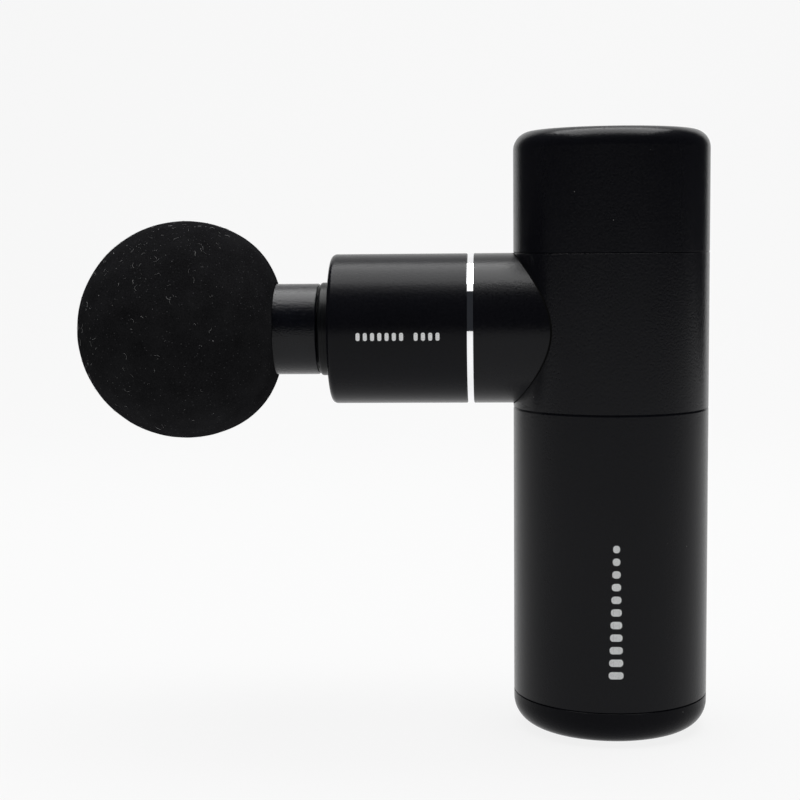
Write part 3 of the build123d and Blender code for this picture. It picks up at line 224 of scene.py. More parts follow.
def dress(finish, *names):
    """Gives these parts of the frame the finish."""
    for part in names:
        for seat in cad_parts[part].material_slots:
            seat.material = finish


PAINT_LIGHT = (0.0050, 0.0051, 0.0068)
PAINT_DARK = (0.0035, 0.0036, 0.0049)
DUST = (0.16, 0.16, 0.155, 1.0)
DUST_APART_MM = 4.2
DUST_RARE = 0.72


def painted_shell(name, dust_shift, specular):
    """Soft-touch black paint with a few pale dust specks on it."""
    paint = textured(name, PAINT_LIGHT, PAINT_DARK, 0.23, 0.04, 0.50, 0.035, blotch_mm=22.0,
                     specular=specular)
    nodes, links = paint.node_tree.nodes, paint.node_tree.links
    shader = nodes["Principled BSDF"]
    place = nodes.new("ShaderNodeTexCoord")
    moved = nodes.new("ShaderNodeMapping")
    moved.inputs["Location"].default_value = (dust_shift, 0.0, 0.0)
    cells = nodes.new("ShaderNodeTexVoronoi")
    cells.inputs["Scale"].default_value = 1.0 / (DUST_APART_MM * MM)
    links.new(place.outputs["Object"], moved.inputs["Vector"])
    links.new(moved.outputs["Vector"], cells.inputs["Vector"])
    near = nodes.new("ShaderNodeMapRange")
    near.inputs["From Min"].default_value = 0.030
    near.inputs["From Max"].default_value = 0.018
    links.new(cells.outputs["Distance"], near.inputs["Value"])
    colour = nodes.new("ShaderNodeSeparateColor")
    links.new(cells.outputs["Color"], colour.inputs["Color"])
    rare = nodes.new("ShaderNodeMath")
    rare.operation = "GREATER_THAN"
    rare.inputs[1].default_value = DUST_RARE
    links.new(colour.outputs["Red"], rare.inputs[0])
    speck = nodes.new("ShaderNodeMath")
    speck.operation = "MULTIPLY"
    links.new(near.outputs["Result"], speck.inputs[0])
    links.new(rare.outputs["Value"], speck.inputs[1])
    mixed = nodes.new("ShaderNodeMix")
    mixed.data_type = "RGBA"
    mixed.inputs["B"].default_value = DUST
    links.new(speck.outputs["Value"], mixed.inputs["Factor"])
    links.new(nodes["tone"].outputs["Color"], mixed.inputs["A"])
    links.new(mixed.outputs["Result"], shader.inputs["Base Color"])
    return paint


foot_rubber = textured("foot_rubber", (0.030, 0.030, 0.031), (0.017, 0.017, 0.018), 0.82, 0.08,
                       0.35, 0.02)
cap_paint = painted_shell("cap_paint", 0.11, 0.05)
dark_screws = textured("dark_screws", (0.16, 0.16, 0.17), (0.08, 0.08, 0.085), 0.36, 0.08, 0.30, 0.003,
                       metallic=1.0)
dress(foot_rubber, "base_pad")
dress(cap_paint, "base_cap")
dress(dark_screws, "base_screws")

# Lower handle: a plain moulded tube in the same paint. A printed level scale, a column of
# pale grey bars that grow downwards, runs up its left side.
HANDLE_R = 22.5
SCALE_BARS = 11
SCALE_BOTTOM = 16.0
SCALE_TOP = 46.2
SCALE_WIDE = 3.3
SCALE_NARROW = 1.5
SCALE_GAP = 1.2
PRINT_T = 0.02
BAR_ROUND = 0.42
BAR_ROUND_STEPS = 5


def printed_bar(width, height, across, along, steps=10):
    """A flat bar with rounded corners, drawn at (across, along) in millimetres on the XY plane."""
    bar = bmesh.new()
    bmesh.ops.create_grid(bar, x_segments=1, y_segments=1, size=0.5)
    bmesh.ops.scale(bar, vec=(width * MM, height * MM, 1.0), verts=bar.verts)
    bmesh.ops.bevel(bar, geom=list(bar.verts), offset=min(width, height) * BAR_ROUND * MM,
                    segments=BAR_ROUND_STEPS, profile=0.5, affect="VERTICES", material=-1)
    for cut in range(1, steps):
        bmesh.ops.bisect_plane(bar, geom=bar.verts[:] + bar.edges[:] + bar.faces[:],
                               plane_co=((cut / steps - 0.5) * width * MM, 0, 0), plane_no=(1, 0, 0))
    bmesh.ops.translate(bar, vec=(across * MM, along * MM, 0), verts=bar.verts)
    return bar


def joined(shapes):
    """One mesh from several."""
    whole = bmesh.new()
    for shape in shapes:
        part = bpy.data.meshes.new("part")
        shape.to_mesh(part)
        shape.free()
        whole.from_mesh(part)
        bpy.data.meshes.remove(part)
    return whole


def piece_from(name, shape, finish, smooth=True):
    """Ends a mesh's making: normals out, shading, finish and object."""
    bmesh.ops.recalc_face_normals(shape, faces=shape.faces)
    for face in shape.faces:
        face.smooth = smooth
    data = bpy.data.meshes.new(name)
    shape.to_mesh(data)
    shape.free()
    data.materials.append(finish)
    made = bpy.data.objects.new(name, data)
    bpy.context.scene.collection.objects.link(made)
    return made


def printing_ink(name, light, dark):
    """Screen-printed ink: thin, satin and a little uneven."""
    return textured(name, light, dark, 0.55, 0.08, 0.22, 0.004, blotch_mm=2.0, specular=0.4)


scale_ink = printing_ink("scale_ink", (0.84, 0.85, 0.85), (0.66, 0.67, 0.67))
scale_bars = []
bar_step = (SCALE_TOP - SCALE_BOTTOM + SCALE_GAP) / SCALE_BARS
for count in range(SCALE_BARS):
    wide = SCALE_WIDE + (SCALE_NARROW - SCALE_WIDE) * count / (SCALE_BARS - 1)
    middle = SCALE_BOTTOM + bar_step * (count + 0.5) - SCALE_GAP / 2
    scale_bars.append(printed_bar(wide, bar_step - SCALE_GAP, 0.0, middle))
scale = joined(scale_bars)
for vert in scale.verts:
    turn = vert.co.x / (HANDLE_R * MM)
    vert.co = Vector((math.sin(turn) * HANDLE_R * MM, -math.cos(turn) * HANDLE_R * MM, vert.co.y))
bmesh.ops.recalc_face_normals(scale, faces=scale.faces)
bmesh.ops.solidify(scale, geom=scale.faces[:], thickness=-PRINT_T * MM)
handle_scale = piece_from("handle_scale", scale, scale_ink, smooth=False)
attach(handle_scale, "housing")
handle_paint = painted_shell("handle_paint", 0.37, 0.13)
dress(handle_paint, "lower_handle_shell")

# Tee housing and top cap: the upper handle with the barrel's root in one moulding, and the
# cap that closes it over the motor, both in the handle's paint. Along the sharp crease between
# the two tubes the colour is a painted shade line, near black, and the paint there is fully matt.
BARREL_R = 17.4
AXIS_Z = 93.4
CREASE_HALF_W = 0.16
# The near-black colour of the painted shade line along the crease between the tubes.
CREASE_PAINTED_SHADE = (0.0008, 0.0008, 0.0008, 1.0)
TUBES = ((HANDLE_R, (0.0, 0.0, 0.0), (1.0, 1.0, 0.0)), (BARREL_R, (0.0, 0.0, -AXIS_Z), (0.0, 1.0, 1.0)))
tee_paint = painted_shell("tee_paint", 0.53, 0.15)
top_paint = painted_shell("top_paint", 0.71, 0.12)
tee_nodes, tee_links = tee_paint.node_tree.nodes, tee_paint.node_tree.links
tee_shader = tee_nodes["Principled BSDF"]
tee_coat = tee_shader.inputs["Base Color"].links[0].from_socket
tee_place = tee_nodes.new("ShaderNodeTexCoord")
near_both = tee_nodes.new("ShaderNodeMath")
near_both.operation = "MULTIPLY"
for tube, (radius, centre, flatten) in enumerate(TUBES):
    to_axis = tee_nodes.new("ShaderNodeVectorMath")
    to_axis.operation = "MULTIPLY_ADD"
    to_axis.inputs[1].default_value = flatten
    to_axis.inputs[2].default_value = [part * MM for part in centre]
    from_axis = tee_nodes.new("ShaderNodeVectorMath")
    from_axis.operation = "LENGTH"
    close = tee_nodes.new("ShaderNodeMath")
    close.operation = "COMPARE"
    close.inputs[1].default_value = radius * MM
    close.inputs[2].default_value = CREASE_HALF_W * MM
    tee_links.new(tee_place.outputs["Object"], to_axis.inputs[0])
    tee_links.new(to_axis.outputs["Vector"], from_axis.inputs[0])
    tee_links.new(from_axis.outputs["Value"], close.inputs[0])
    tee_links.new(close.outputs["Value"], near_both.inputs[tube])
tee_xyz = tee_nodes.new("ShaderNodeSeparateXYZ")
tee_links.new(tee_place.outputs["Object"], tee_xyz.inputs["Vector"])
barrel_side = tee_nodes.new("ShaderNodeMath")
barrel_side.operation = "LESS_THAN"
barrel_side.inputs[1].default_value = 0.0
tee_links.new(tee_xyz.outputs["X"], barrel_side.inputs[0])
# Painted shade: this mask darkens the colour along the crease on the barrel's side and makes the paint matt
# there.
crease = tee_nodes.new("ShaderNodeMath")
crease.operation = "MULTIPLY"
tee_links.new(near_both.outputs["Value"], crease.inputs[0])
tee_links.new(barrel_side.outputs["Value"], crease.inputs[1])
crease_painted_shade = tee_nodes.new("ShaderNodeMix")
crease_painted_shade.data_type = "RGBA"
crease_painted_shade.inputs["B"].default_value = CREASE_PAINTED_SHADE
tee_links.new(crease.outputs["Value"], crease_painted_shade.inputs["Factor"])
tee_links.new(tee_coat, crease_painted_shade.inputs["A"])
tee_links.new(crease_painted_shade.outputs["Result"], tee_shader.inputs["Base Color"])
dull = tee_nodes.new("ShaderNodeMath")
dull.operation = "MAXIMUM"
tee_gloss = tee_shader.inputs["Roughness"].links[0].from_socket
tee_links.new(tee_gloss, dull.inputs[0])
tee_links.new(crease.outputs["Value"], dull.inputs[1])
tee_links.new(dull.outputs["Value"], tee_shader.inputs["Roughness"])
dress(tee_paint, "tee_housing")
dress(top_paint, "top_cap")

# Trim ring: a narrow metal band, turned, polished and chrome plated. It is pressed on between
# the barrel's two halves and hides their joint.
chrome = textured("chrome", (0.98, 0.98, 0.99), (0.94, 0.945, 0.96), 0.045, 0.02, 0.5, 0.0004,
                  metallic=1.0)
dress(chrome, "trim_ring")

# Nose shell: the barrel's painted front half. A printed row of short bars, pale grey, marks
# its left side.
ROW_PLACES = 12
ROW_EMPTY_PLACE = 7
ROW_FROM = -57.9
ROW_TO = -39.1
ROW_DROP = 0.95
ROW_H = 1.8
ROW_BAR_W = 0.9
ROW_CUT = 0.2
nose_paint = painted_shell("nose_paint", 0.29, 0.10)
dress(nose_paint, "nose_shell")
row_ink = printing_ink("row_ink", (0.95, 0.95, 0.95), (0.84, 0.85, 0.85))
row_bars = []
for count in range(ROW_PLACES):
    if count == ROW_EMPTY_PLACE:
        continue
    across = ROW_FROM + ROW_BAR_W / 2 + (ROW_TO - ROW_FROM - ROW_BAR_W) * count / (ROW_PLACES - 1)
    row_bars.append(printed_bar(ROW_BAR_W, ROW_H, across, -ROW_DROP, steps=2))
row = joined(row_bars)
for cut in range(-4, 5):
    bmesh.ops.bisect_plane(row, geom=row.verts[:] + row.edges[:] + row.faces[:],
                           plane_co=(0, (-ROW_DROP + cut * ROW_CUT) * MM, 0), plane_no=(0, 1, 0))
for vert in row.verts:
    turn = vert.co.y / (BARREL_R * MM)
    vert.co.y = -math.cos(turn) * BARREL_R * MM
    vert.co.z = (AXIS_Z + math.sin(turn) * BARREL_R) * MM
bmesh.ops.recalc_face_normals(row, faces=row.faces)
bmesh.ops.solidify(row, geom=row.faces[:], thickness=-PRINT_T * MM)
barrel_row = piece_from("barrel_row", row, row_ink, smooth=False)
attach(barrel_row, "housing")

# Seal, guide and dampers: a black rubber lip round the plunger, a white acetal liner behind
# it and two grey silicone rings that hold the turned aluminium tube away from the shell.
LATHE_X = (1.0, 0.03, 0.03)
LATHE_Z = (0.03, 0.03, 1.0)
seal_rubber = textured("seal_rubber", (0.022, 0.022, 0.023), (0.013, 0.013, 0.014), 0.70, 0.08, 0.25, 0.012)
acetal = textured("acetal", (0.86, 0.86, 0.84), (0.78, 0.78, 0.75), 0.42, 0.06, 0.3, 0.004,
                  stretch=LATHE_X)
silicone = textured("silicone", (0.34, 0.35, 0.37), (0.27, 0.28, 0.30), 0.60, 0.08, 0.4, 0.01)
turned_tube = textured("turned_tube", (0.74, 0.75, 0.77), (0.60, 0.61, 0.63), 0.34, 0.08, 0.22, 0.002,
                       stretch=LATHE_X, metallic=1.0)
dress(seal_rubber, "dust_seal", "head_o_rings")
dress(acetal, "guide_bush")
dress(silicone, "damping_rings")
dress(turned_tube, "cylinder_tube")

# Motor bracket and screws: a die-cast aluminium plate with a blasted skin, and dark plated
# steel screws that hold the bracket, the tube and the motor.
cast_aluminium = textured("cast_aluminium", (0.66, 0.67, 0.69), (0.50, 0.51, 0.53), 0.52, 0.10, 0.6, 0.02,
                          metallic=1.0)
dress(cast_aluminium, "motor_bracket")
dress(dark_screws, "cylinder_screws", "bracket_screws", "motor_screws")

# Motor: a turned aluminium base, a stack of thin iron sheets, a copper coil round each tooth
# and a bright steel bell lined with nickel-plated magnets.
base_aluminium = textured("base_aluminium", (0.72, 0.73, 0.75), (0.58, 0.59, 0.61), 0.36, 0.08, 0.25, 0.003,
                          stretch=LATHE_Z, metallic=1.0)
iron_sheets = textured("iron_sheets", (0.20, 0.21, 0.23), (0.06, 0.065, 0.075), 0.42, 0.12, 0.35, 0.03,
                       stretch=LATHE_Z, metallic=0.8)
enamelled_wire = textured("enamelled_wire", (0.75, 0.33, 0.14), (0.42, 0.15, 0.06), 0.28, 0.08, 0.45, 0.10,
                          stretch=LATHE_Z, metallic=0.85, detail=0.0)
bell_steel = textured("bell_steel", (0.46, 0.46, 0.48), (0.34, 0.34, 0.36), 0.30, 0.08, 0.2, 0.003,
                      stretch=LATHE_Z, metallic=1.0)
magnet_nickel = textured("magnet_nickel", (0.60, 0.60, 0.62), (0.50, 0.50, 0.52), 0.20, 0.06, 0.8, 0.002,
                         metallic=1.0)
dress(base_aluminium, "motor_base")
dress(iron_sheets, "stator_core")
dress(enamelled_wire, "stator_windings")
dress(bell_steel, "rotor_bell")
dress(magnet_nickel, "rotor_magnets")

# Bearings, shaft and crank: ground races and balls, a ground shaft, and a turned crank disc
# with its counterweight, all steel.
ground_steel = textured("ground_steel", (0.78, 0.78, 0.80), (0.68, 0.68, 0.70), 0.12, 0.04, 0.3, 0.0008,
                        metallic=1.0)
turned_steel = textured("turned_steel", (0.62, 0.62, 0.64), (0.46, 0.46, 0.48), 0.30, 0.08, 0.2, 0.003,
                        stretch=LATHE_Z, metallic=1.0)
dress(ground_steel, "motor_outer_races", "motor_inner_races", "motor_bearing_balls", "big_end_outer_race",
      "big_end_inner_race", "big_end_balls")
dress(turned_steel, "motor_shaft", "crank_disc", "wrist_pin")
dress(dark_screws, "crank_pin")

# Connecting rod and plunger: a milled aluminium rod, and a turned and black anodised sleeve
# whose rim shows at the barrel's mouth.
milled_rod = textured("milled_rod", (0.72, 0.73, 0.75), (0.58, 0.59, 0.61), 0.32, 0.08, 0.3, 0.004,
                      stretch=(0.08, 1.0, 1.0), metallic=1.0)
black_anodised = textured("black_anodised", (0.0075, 0.0080, 0.0090), (0.0040, 0.0042, 0.0048), 0.30, 0.07,
                          0.12, 0.003, stretch=LATHE_X, specular=0.12)
dress(milled_rod, "connecting_rod")
dress(black_anodised, "plunger")

# Head stem: a glass-filled nylon moulding, dark with a blue cast, whose coarse spark grain
# glitters where the light catches it.
stem_nylon = textured("stem_nylon", (0.0052, 0.0056, 0.0080), (0.0020, 0.0022, 0.0034), 0.18, 0.08,
                      0.42, 0.09, blotch_mm=5.0, specular=0.22)
dress(stem_nylon, "head_stem")

# Ball head: closed-cell foam moulded round the stem's core. It keeps a round front and draws
# in a little to the stem's collar, and its skin is matt with fine open cells.
BALL_X = -99.2
BALL_R = 25.5
NECK_X = -77.7
NECK_R = 10.65
BORE_R = 9.05
BORE_END = -92.05
TURN_DEG = 60.0
ROUND_STEPS = 96
DRAW_STEPS = 28
SPIN_STEPS = 288
LIP_BACK = 0.12
LIP_DROP = 0.35
SKIN_DEPTH = 4.0
LUMP_MM = 3.2
LUMP_RISE = 0.05
CELL_MM = 0.9
CELL_RISE = 0.03

turn_at = math.radians(TURN_DEG)
turn_point = Vector((BALL_X + BALL_R * math.cos(turn_at), BALL_R * math.sin(turn_at)))
neck_point = Vector((NECK_X, NECK_R))
inward = (Vector((BALL_X, 0.0)) - turn_point).normalized()
chord = neck_point - turn_point
draw_r = chord.length_squared / (2 * chord.dot(inward))
draw_centre = turn_point + inward * draw_r
foam = bmesh.new()
profile = [foam.verts.new(((BALL_X - BALL_R) * MM, 0.0, AXIS_Z * MM))]


def run_to(x, r):
    """Takes the foam's outline on to the next point."""
    profile.append(foam.verts.new((x * MM, 0.0, (AXIS_Z + r) * MM)))
    foam.edges.new(profile[-2:])


for step in range(1, ROUND_STEPS + 1):
    angle = math.radians(180.0 - (180.0 - TURN_DEG) * step / ROUND_STEPS)
    run_to(BALL_X + BALL_R * math.cos(angle), BALL_R * math.sin(angle))
first = math.atan2(*(turn_point - draw_centre).yx)
last = math.atan2(*(neck_point - draw_centre).yx)
for step in range(1, DRAW_STEPS + 1):
    angle = first + (last - first) * step / DRAW_STEPS
    run_to(draw_centre.x + draw_r * math.cos(angle), draw_centre.y + draw_r * math.sin(angle))
run_to(NECK_X - LIP_BACK, NECK_R - LIP_DROP)
run_to(NECK_X - LIP_BACK, BORE_R)
run_to(BORE_END, BORE_R)
run_to(BORE_END, 0.0)
bmesh.ops.spin(foam, geom=foam.verts[:] + foam.edges[:], cent=(0, 0, AXIS_Z * MM), axis=(1, 0, 0),
               dvec=(0, 0, 0), angle=math.radians(360), steps=SPIN_STEPS, use_merge=True)
bmesh.ops.remove_doubles(foam, verts=foam.verts, dist=0.002 * MM)
bmesh.ops.recalc_face_normals(foam, faces=foam.faces)
foam.normal_update()
for vert in foam.verts:
    reach = (vert.co - Vector((BALL_X * MM, 0, AXIS_Z * MM))).length
    if reach < (BALL_R - SKIN_DEPTH) * MM:
        continue
    lump = noise.noise(vert.co / (LUMP_MM * MM)) * LUMP_RISE
    cell = abs(noise.noise(vert.co / (CELL_MM * MM) + Vector((7.0, 3.0, 1.0)))) * -CELL_RISE
    vert.co += vert.normal * (lump + cell - LUMP_RISE) * MM


FOAM_LIGHT = (0.0180, 0.0180, 0.0194)
FOAM_DARK = (0.0085, 0.0085, 0.0092)
CELL_WALL = (0.10, 0.10, 0.105, 1.0)
CELL_APART_MM = 0.62


def foam_skin(name):
    """Black foam: a fine cell relief, small paler cell walls and no gloss."""
    skin = textured(name, FOAM_LIGHT, FOAM_DARK, 0.92, 0.05, 0.30, 0.06, blotch_mm=6.0, specular=0.0)
    nodes, links = skin.node_tree.nodes, skin.node_tree.links
    shader = nodes["Principled BSDF"]
    shader.inputs["Diffuse Roughness"].default_value = 1.0
    place = nodes.new("ShaderNodeTexCoord")
    cells = nodes.new("ShaderNodeTexVoronoi")
    cells.inputs["Scale"].default_value = 1.0 / (CELL_APART_MM * MM)
    links.new(place.outputs["Object"], cells.inputs["Vector"])
    near = nodes.new("ShaderNodeMapRange")
    near.inputs["From Min"].default_value = 0.24
    near.inputs["From Max"].default_value = 0.08
    links.new(cells.outputs["Distance"], near.inputs["Value"])
    colour = nodes.new("ShaderNodeSeparateColor")
    links.new(cells.outputs["Color"], colour.inputs["Color"])
    rare = nodes.new("ShaderNodeMapRange")
    rare.inputs["From Min"].default_value = 0.55
    rare.inputs["From Max"].default_value = 1.0
    rare.inputs["To Max"].default_value = 0.9
    links.new(colour.outputs["Green"], rare.inputs["Value"])
    speck = nodes.new("ShaderNodeMath")
    speck.operation = "MULTIPLY"
    links.new(near.outputs["Result"], speck.inputs[0])
    links.new(rare.outputs["Result"], speck.inputs[1])
    mixed = nodes.new("ShaderNodeMix")
    mixed.data_type = "RGBA"
    mixed.inputs["B"].default_value = CELL_WALL
    links.new(speck.outputs["Value"], mixed.inputs["Factor"])
    links.new(nodes["tone"].outputs["Color"], mixed.inputs["A"])
    links.new(mixed.outputs["Result"], shader.inputs["Base Color"])
    return skin


foam_ball = piece_from("foam_ball", foam, foam_skin("foam_skin"))
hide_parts("ball_head")
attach(foam_ball, "head")

# Lint: short pale fibres that cling to the foam, each a fine curved hair lying on its skin.
# They are thickest on the upper side, where dust settles.
LINT_COUNT = 900
LINT_R = 0.024
LINT_SIDES = 3
LINT_STEPS = 6
LINT_SHORT = 0.22
LINT_LONG = 1.7
LINT_CURL_DEG = 300.0
LINT_CLEAR = 0.01
LINT_SPREAD = 1.42
LINT_ABOVE = 0.55
LINT_SLOPE = 0.45

ball_centre = Vector((BALL_X, 0.0, AXIS_Z)) * MM
lint_shapes = bmesh.new()
noise.seed_set(5)
for count in range(LINT_COUNT):
    polar = math.acos(1.0 - LINT_SPREAD * noise.random())
    around = math.radians(360.0) * noise.random()
    outward = Vector((-math.cos(polar), math.sin(polar) * math.cos(around),
                      math.sin(polar) * math.sin(around)))
    if noise.random() > LINT_ABOVE + LINT_SLOPE * outward.z:
        continue
    side = outward.cross(Vector((0.3, 0.9, 0.2))).normalized()
    heading = Matrix.Rotation(math.radians(360.0) * noise.random(), 3, outward) @ side
    length = LINT_SHORT + LINT_LONG * noise.random() ** 4
    curl = math.radians(LINT_CURL_DEG) * (noise.random() - 0.5)
    crook = Matrix.Rotation(curl / LINT_STEPS, 3, outward)
    ring = bmesh.ops.create_circle(lint_shapes, segments=LINT_SIDES, radius=LINT_R * MM)["verts"]
    seat = Vector((BALL_X, 0.0, AXIS_Z)) + outward * BALL_R
    lie = Matrix((heading.cross(outward), outward, heading)).transposed().to_4x4()
    bmesh.ops.transform(lint_shapes, verts=ring, matrix=Matrix.Translation(seat * MM) @ lie)
    edges = list({e for v in ring for e in v.link_edges})
    for step in range(LINT_STEPS):
        grown = bmesh.ops.extrude_edge_only(lint_shapes, edges=edges)["geom"]
        verts = [g for g in grown if isinstance(g, bmesh.types.BMVert)]
        edges = [g for g in grown if isinstance(g, bmesh.types.BMEdge)]
        middle = sum((v.co for v in verts), Vector()) / len(verts)
        bmesh.ops.rotate(lint_shapes, verts=verts, cent=middle, matrix=crook)
        heading = crook @ heading
        moved = middle + heading * (length / LINT_STEPS) * MM
        moved = ball_centre + (moved - ball_centre).normalized() * (BALL_R + LINT_CLEAR) * MM
        bmesh.ops.translate(lint_shapes, verts=verts, vec=moved - middle)
bmesh.ops.holes_fill(lint_shapes, edges=[e for e in lint_shapes.edges if e.is_boundary], sides=LINT_SIDES)
lint_fibre = textured("lint_fibre", (0.42, 0.42, 0.42), (0.06, 0.06, 0.06), 0.8, 0.1, 1.6, 0.002,
                      blotch_mm=3.0)
ball_lint = piece_from("ball_lint", lint_shapes, lint_fibre)
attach(ball_lint, "head")

# Battery: two round cells in shrink sleeves with bright steel ends, a moulded carrier, nickel
# strips welded across the cells, and short red leads.
CELL_LOW, CELL_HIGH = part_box("battery_cells")
BARE_END_MM = 0.25
BARE_STEEL = (0.62, 0.61, 0.58, 1.0)
cell_sleeve = textured("cell_sleeve", (0.06, 0.25, 0.48), (0.04, 0.18, 0.36), 0.30, 0.06, 0.6, 0.006)
sleeve_nodes, sleeve_links = cell_sleeve.node_tree.nodes, cell_sleeve.node_tree.links
sleeve_shader = sleeve_nodes["Principled BSDF"]
sleeve_place = sleeve_nodes.new("ShaderNodeTexCoord")
sleeve_xyz = sleeve_nodes.new("ShaderNodeSeparateXYZ")
sleeve_links.new(sleeve_place.outputs["Object"], sleeve_xyz.inputs["Vector"])
cell_end = sleeve_nodes.new("ShaderNodeMath")
cell_end.operation = "COMPARE"
cell_end.inputs[1].default_value = (CELL_LOW.z + CELL_HIGH.z) / 2
cell_end.inputs[2].default_value = (CELL_HIGH.z - CELL_LOW.z) / 2 - BARE_END_MM * MM
sleeve_links.new(sleeve_xyz.outputs["Z"], cell_end.inputs[0])
bare = sleeve_nodes.new("ShaderNodeMix")
bare.data_type = "RGBA"
bare.inputs["A"].default_value = BARE_STEEL
sleeve_links.new(cell_end.outputs["Value"], bare.inputs["Factor"])
sleeve_links.new(sleeve_nodes["tone"].outputs["Color"], bare.inputs["B"])
sleeve_links.new(bare.outputs["Result"], sleeve_shader.inputs["Base Color"])
metal_end = sleeve_nodes.new("ShaderNodeMath")
metal_end.operation = "SUBTRACT"
metal_end.inputs[0].default_value = 1.0
sleeve_links.new(cell_end.outputs["Value"], metal_end.inputs[1])
sleeve_links.new(metal_end.outputs["Value"], sleeve_shader.inputs["Metallic"])
carrier_nylon = textured("carrier_nylon", (0.12, 0.12, 0.13), (0.08, 0.08, 0.085), 0.62, 0.08,
                         0.5, 0.02)
nickel_strip = textured("nickel_strip", (0.68, 0.67, 0.63), (0.55, 0.54, 0.51), 0.30, 0.08, 0.4, 0.003,
                        stretch=(0.1, 1.0, 1.0), metallic=1.0)
red_lead = textured("red_lead", (0.55, 0.03, 0.03), (0.40, 0.02, 0.02), 0.45, 0.06, 0.4, 0.01)
dress(cell_sleeve, "battery_cells")
dress(carrier_nylon, "battery_carrier")
dress(nickel_strip, "cell_tabs")
dress(red_lead, "battery_leads")

# Control board: a green solder mask over copper tracks, with its screws, power transistors,
# capacitors, controller chip, switch and lamps. Silicone wires bring the motor's current.
TRACK_CELL_MM = 6.0
TRACK_W = 0.03
MASK_DEEP = (0.014, 0.10, 0.05, 1.0)
MASK_PLAIN = (0.018, 0.12, 0.06, 1.0)
MASK_OVER_TRACK = (0.05, 0.24, 0.12, 1.0)
solder_mask = textured("solder_mask", (0.03, 0.17, 0.09), (0.015, 0.10, 0.05), 0.34, 0.06, 0.5, 0.006)
mask_nodes, mask_links = solder_mask.node_tree.nodes, solder_mask.node_tree.links
mask_place = mask_nodes.new("ShaderNodeTexCoord")
mask_turn = mask_nodes.new("ShaderNodeMapping")
mask_turn.inputs["Rotation"].default_value = (0.0, math.radians(90), 0.0)
tracks = mask_nodes.new("ShaderNodeTexBrick")
tracks.inputs["Scale"].default_value = 1.0 / (TRACK_CELL_MM * MM)
tracks.inputs["Mortar Size"].default_value = TRACK_W
tracks.inputs["Color1"].default_value = MASK_DEEP
tracks.inputs["Color2"].default_value = MASK_PLAIN
tracks.inputs["Mortar"].default_value = MASK_OVER_TRACK
mask_links.new(mask_place.outputs["Object"], mask_turn.inputs["Vector"])
mask_links.new(mask_turn.outputs["Vector"], tracks.inputs["Vector"])
mask_links.new(tracks.outputs["Color"], mask_nodes["Principled BSDF"].inputs["Base Color"])
chip_resin = textured("chip_resin", (0.030, 0.030, 0.032), (0.018, 0.018, 0.020), 0.48, 0.08, 0.2, 0.006)
can_sleeve = textured("can_sleeve", (0.035, 0.040, 0.055), (0.022, 0.026, 0.038), 0.25, 0.05, 0.5, 0.003)
switch_nylon = textured("switch_nylon", (0.034, 0.034, 0.036), (0.022, 0.022, 0.024), 0.50, 0.06,
                        0.3, 0.008)
wire_silicone = textured("wire_silicone", (0.60, 0.10, 0.04), (0.46, 0.06, 0.03), 0.50, 0.06, 0.4, 0.01)
dress(solder_mask, "control_board")
dress(dark_screws, "board_screws")
dress(chip_resin, "power_mosfets", "controller_chip")
dress(can_sleeve, "board_capacitors")
dress(switch_nylon, "tact_switch")
dress(wire_silicone, "motor_wires")

# Charging port: a folded steel shell with a black resin tongue. The tongue's contacts are
# thin gold-plated bars, the same on both of its faces.
PORT_LOW, PORT_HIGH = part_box("usb_c_tongue")
CONTACTS = 12
CONTACT_L = 3.4
CONTACT_W = 0.28
CONTACT_T = 0.03
CONTACT_ROUND = 0.008
CONTACT_IN = 2.2
port_steel = textured("port_steel", (0.66, 0.66, 0.68), (0.54, 0.54, 0.56), 0.28, 0.06, 0.3, 0.002,
                      stretch=(0.1, 1.0, 1.0), metallic=1.0)
tongue_resin = textured("tongue_resin", (0.030, 0.030, 0.032), (0.020, 0.020, 0.022), 0.45, 0.06,
                        0.2, 0.004)
contact_gold = textured("contact_gold", (0.85, 0.62, 0.26), (0.72, 0.50, 0.20), 0.24, 0.06, 0.2, 0.001,
                        metallic=1.0)
dress(port_steel, "usb_c_receptacle")
dress(tongue_resin, "usb_c_tongue")
contact_bars = []
for face_y in (PORT_LOW.y, PORT_HIGH.y):
    for count in range(CONTACTS):
        bar = bmesh.new()
        bmesh.ops.create_cube(bar, size=1.0)
        bmesh.ops.scale(bar, vec=(CONTACT_L * MM, CONTACT_T * MM, CONTACT_W * MM), verts=bar.verts)
        bmesh.ops.bevel(bar, geom=bar.edges[:], offset=CONTACT_ROUND * MM, segments=1, profile=0.5,
                        affect="EDGES", material=-1)
        high = PORT_LOW.z + (PORT_HIGH.z - PORT_LOW.z) * (count + 0.5) / CONTACTS
        bmesh.ops.translate(bar, vec=(PORT_HIGH.x - CONTACT_IN * MM, face_y, high), verts=bar.verts)
        contact_bars.append(bar)
port_contacts = piece_from("port_contacts", joined(contact_bars), contact_gold, smooth=False)
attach(port_contacts, "housing")

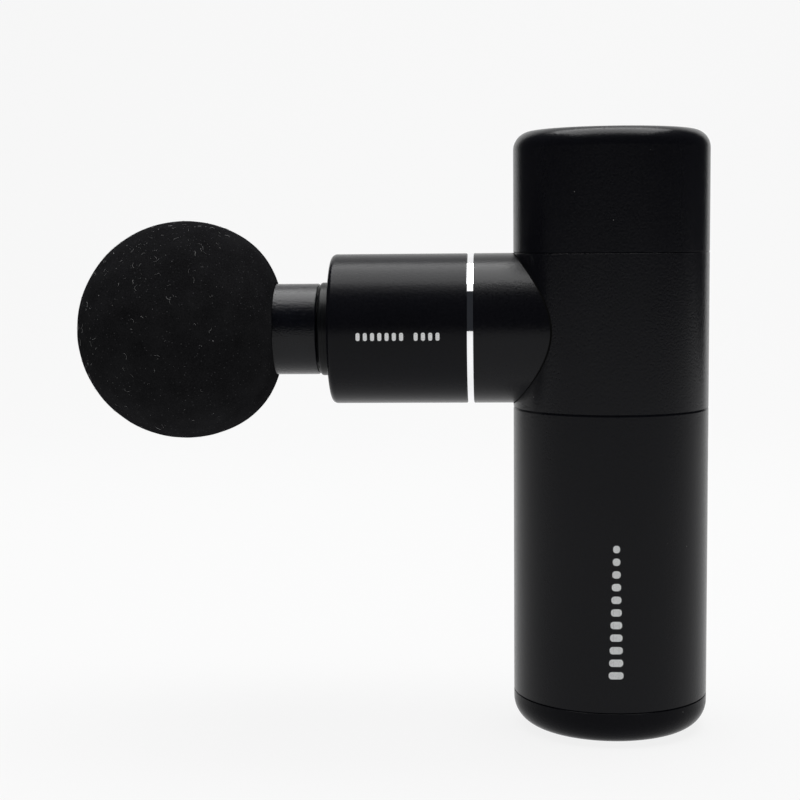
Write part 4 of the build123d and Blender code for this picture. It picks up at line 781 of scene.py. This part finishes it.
# Lights: small lensed lamps on the board, and clear acrylic pipes that bring their light out
# flush with the handle's back.
CLEARNESS = 0.35
lamp_lens = textured("lamp_lens", (0.88, 0.89, 0.82), (0.78, 0.79, 0.72), 0.20, 0.05, 0.3, 0.003)
acrylic = textured("acrylic", (0.82, 0.86, 0.90), (0.74, 0.79, 0.84), 0.16, 0.05, 0.5, 0.003)
acrylic.node_tree.nodes["Principled BSDF"].inputs["Transmission Weight"].default_value = CLEARNESS
dress(lamp_lens, "status_leds")
dress(acrylic, "light_pipes")

# Power button: a satin moulded disc curved flush with the handle, with a printed on-off sign
# of a broken ring and a bar.
BUTTON_LOW, BUTTON_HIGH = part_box("power_button")
BUTTON_Z = (BUTTON_LOW.z + BUTTON_HIGH.z) / 2
SIGN_R = 2.0
SIGN_W = 0.42
SIGN_OPEN_DEG = 70.0
SIGN_STEPS = 48
SIGN_BAR_H = 2.1
SIGN_BAR_AT = 1.75
button_satin = textured("button_satin", (0.040, 0.041, 0.045), (0.028, 0.029, 0.032), 0.34, 0.05,
                        0.25, 0.004, specular=0.45)
dress(button_satin, "power_button")
sign_ring = bmesh.new()
rim = [sign_ring.verts.new((0.0, (SIGN_R + way * SIGN_W / 2) * MM, 0.0)) for way in (-1, 1)]
sign_ring.edges.new(rim)
bmesh.ops.rotate(sign_ring, verts=sign_ring.verts, cent=(0, 0, 0),
                 matrix=Matrix.Rotation(math.radians(SIGN_OPEN_DEG / 2), 3, "Z"))
bmesh.ops.spin(sign_ring, geom=sign_ring.verts[:] + sign_ring.edges[:], cent=(0, 0, 0), axis=(0, 0, 1),
               dvec=(0, 0, 0), angle=math.radians(360 - SIGN_OPEN_DEG), steps=SIGN_STEPS)
sign = joined([sign_ring, printed_bar(SIGN_W, SIGN_BAR_H, 0.0, SIGN_BAR_AT, steps=2)])
for vert in sign.verts:
    turn = vert.co.x / (HANDLE_R * MM)
    high = BUTTON_Z + vert.co.y
    vert.co = Vector((math.cos(turn) * HANDLE_R * MM, math.sin(turn) * HANDLE_R * MM, high))
bmesh.ops.recalc_face_normals(sign, faces=sign.faces)
bmesh.ops.solidify(sign, geom=sign.faces[:], thickness=-PRINT_T * MM)
sign_ink = printing_ink("sign_ink", (0.62, 0.63, 0.63), (0.50, 0.51, 0.51))
button_sign = piece_from("button_sign", sign, sign_ink, smooth=False)
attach(button_sign, "button")
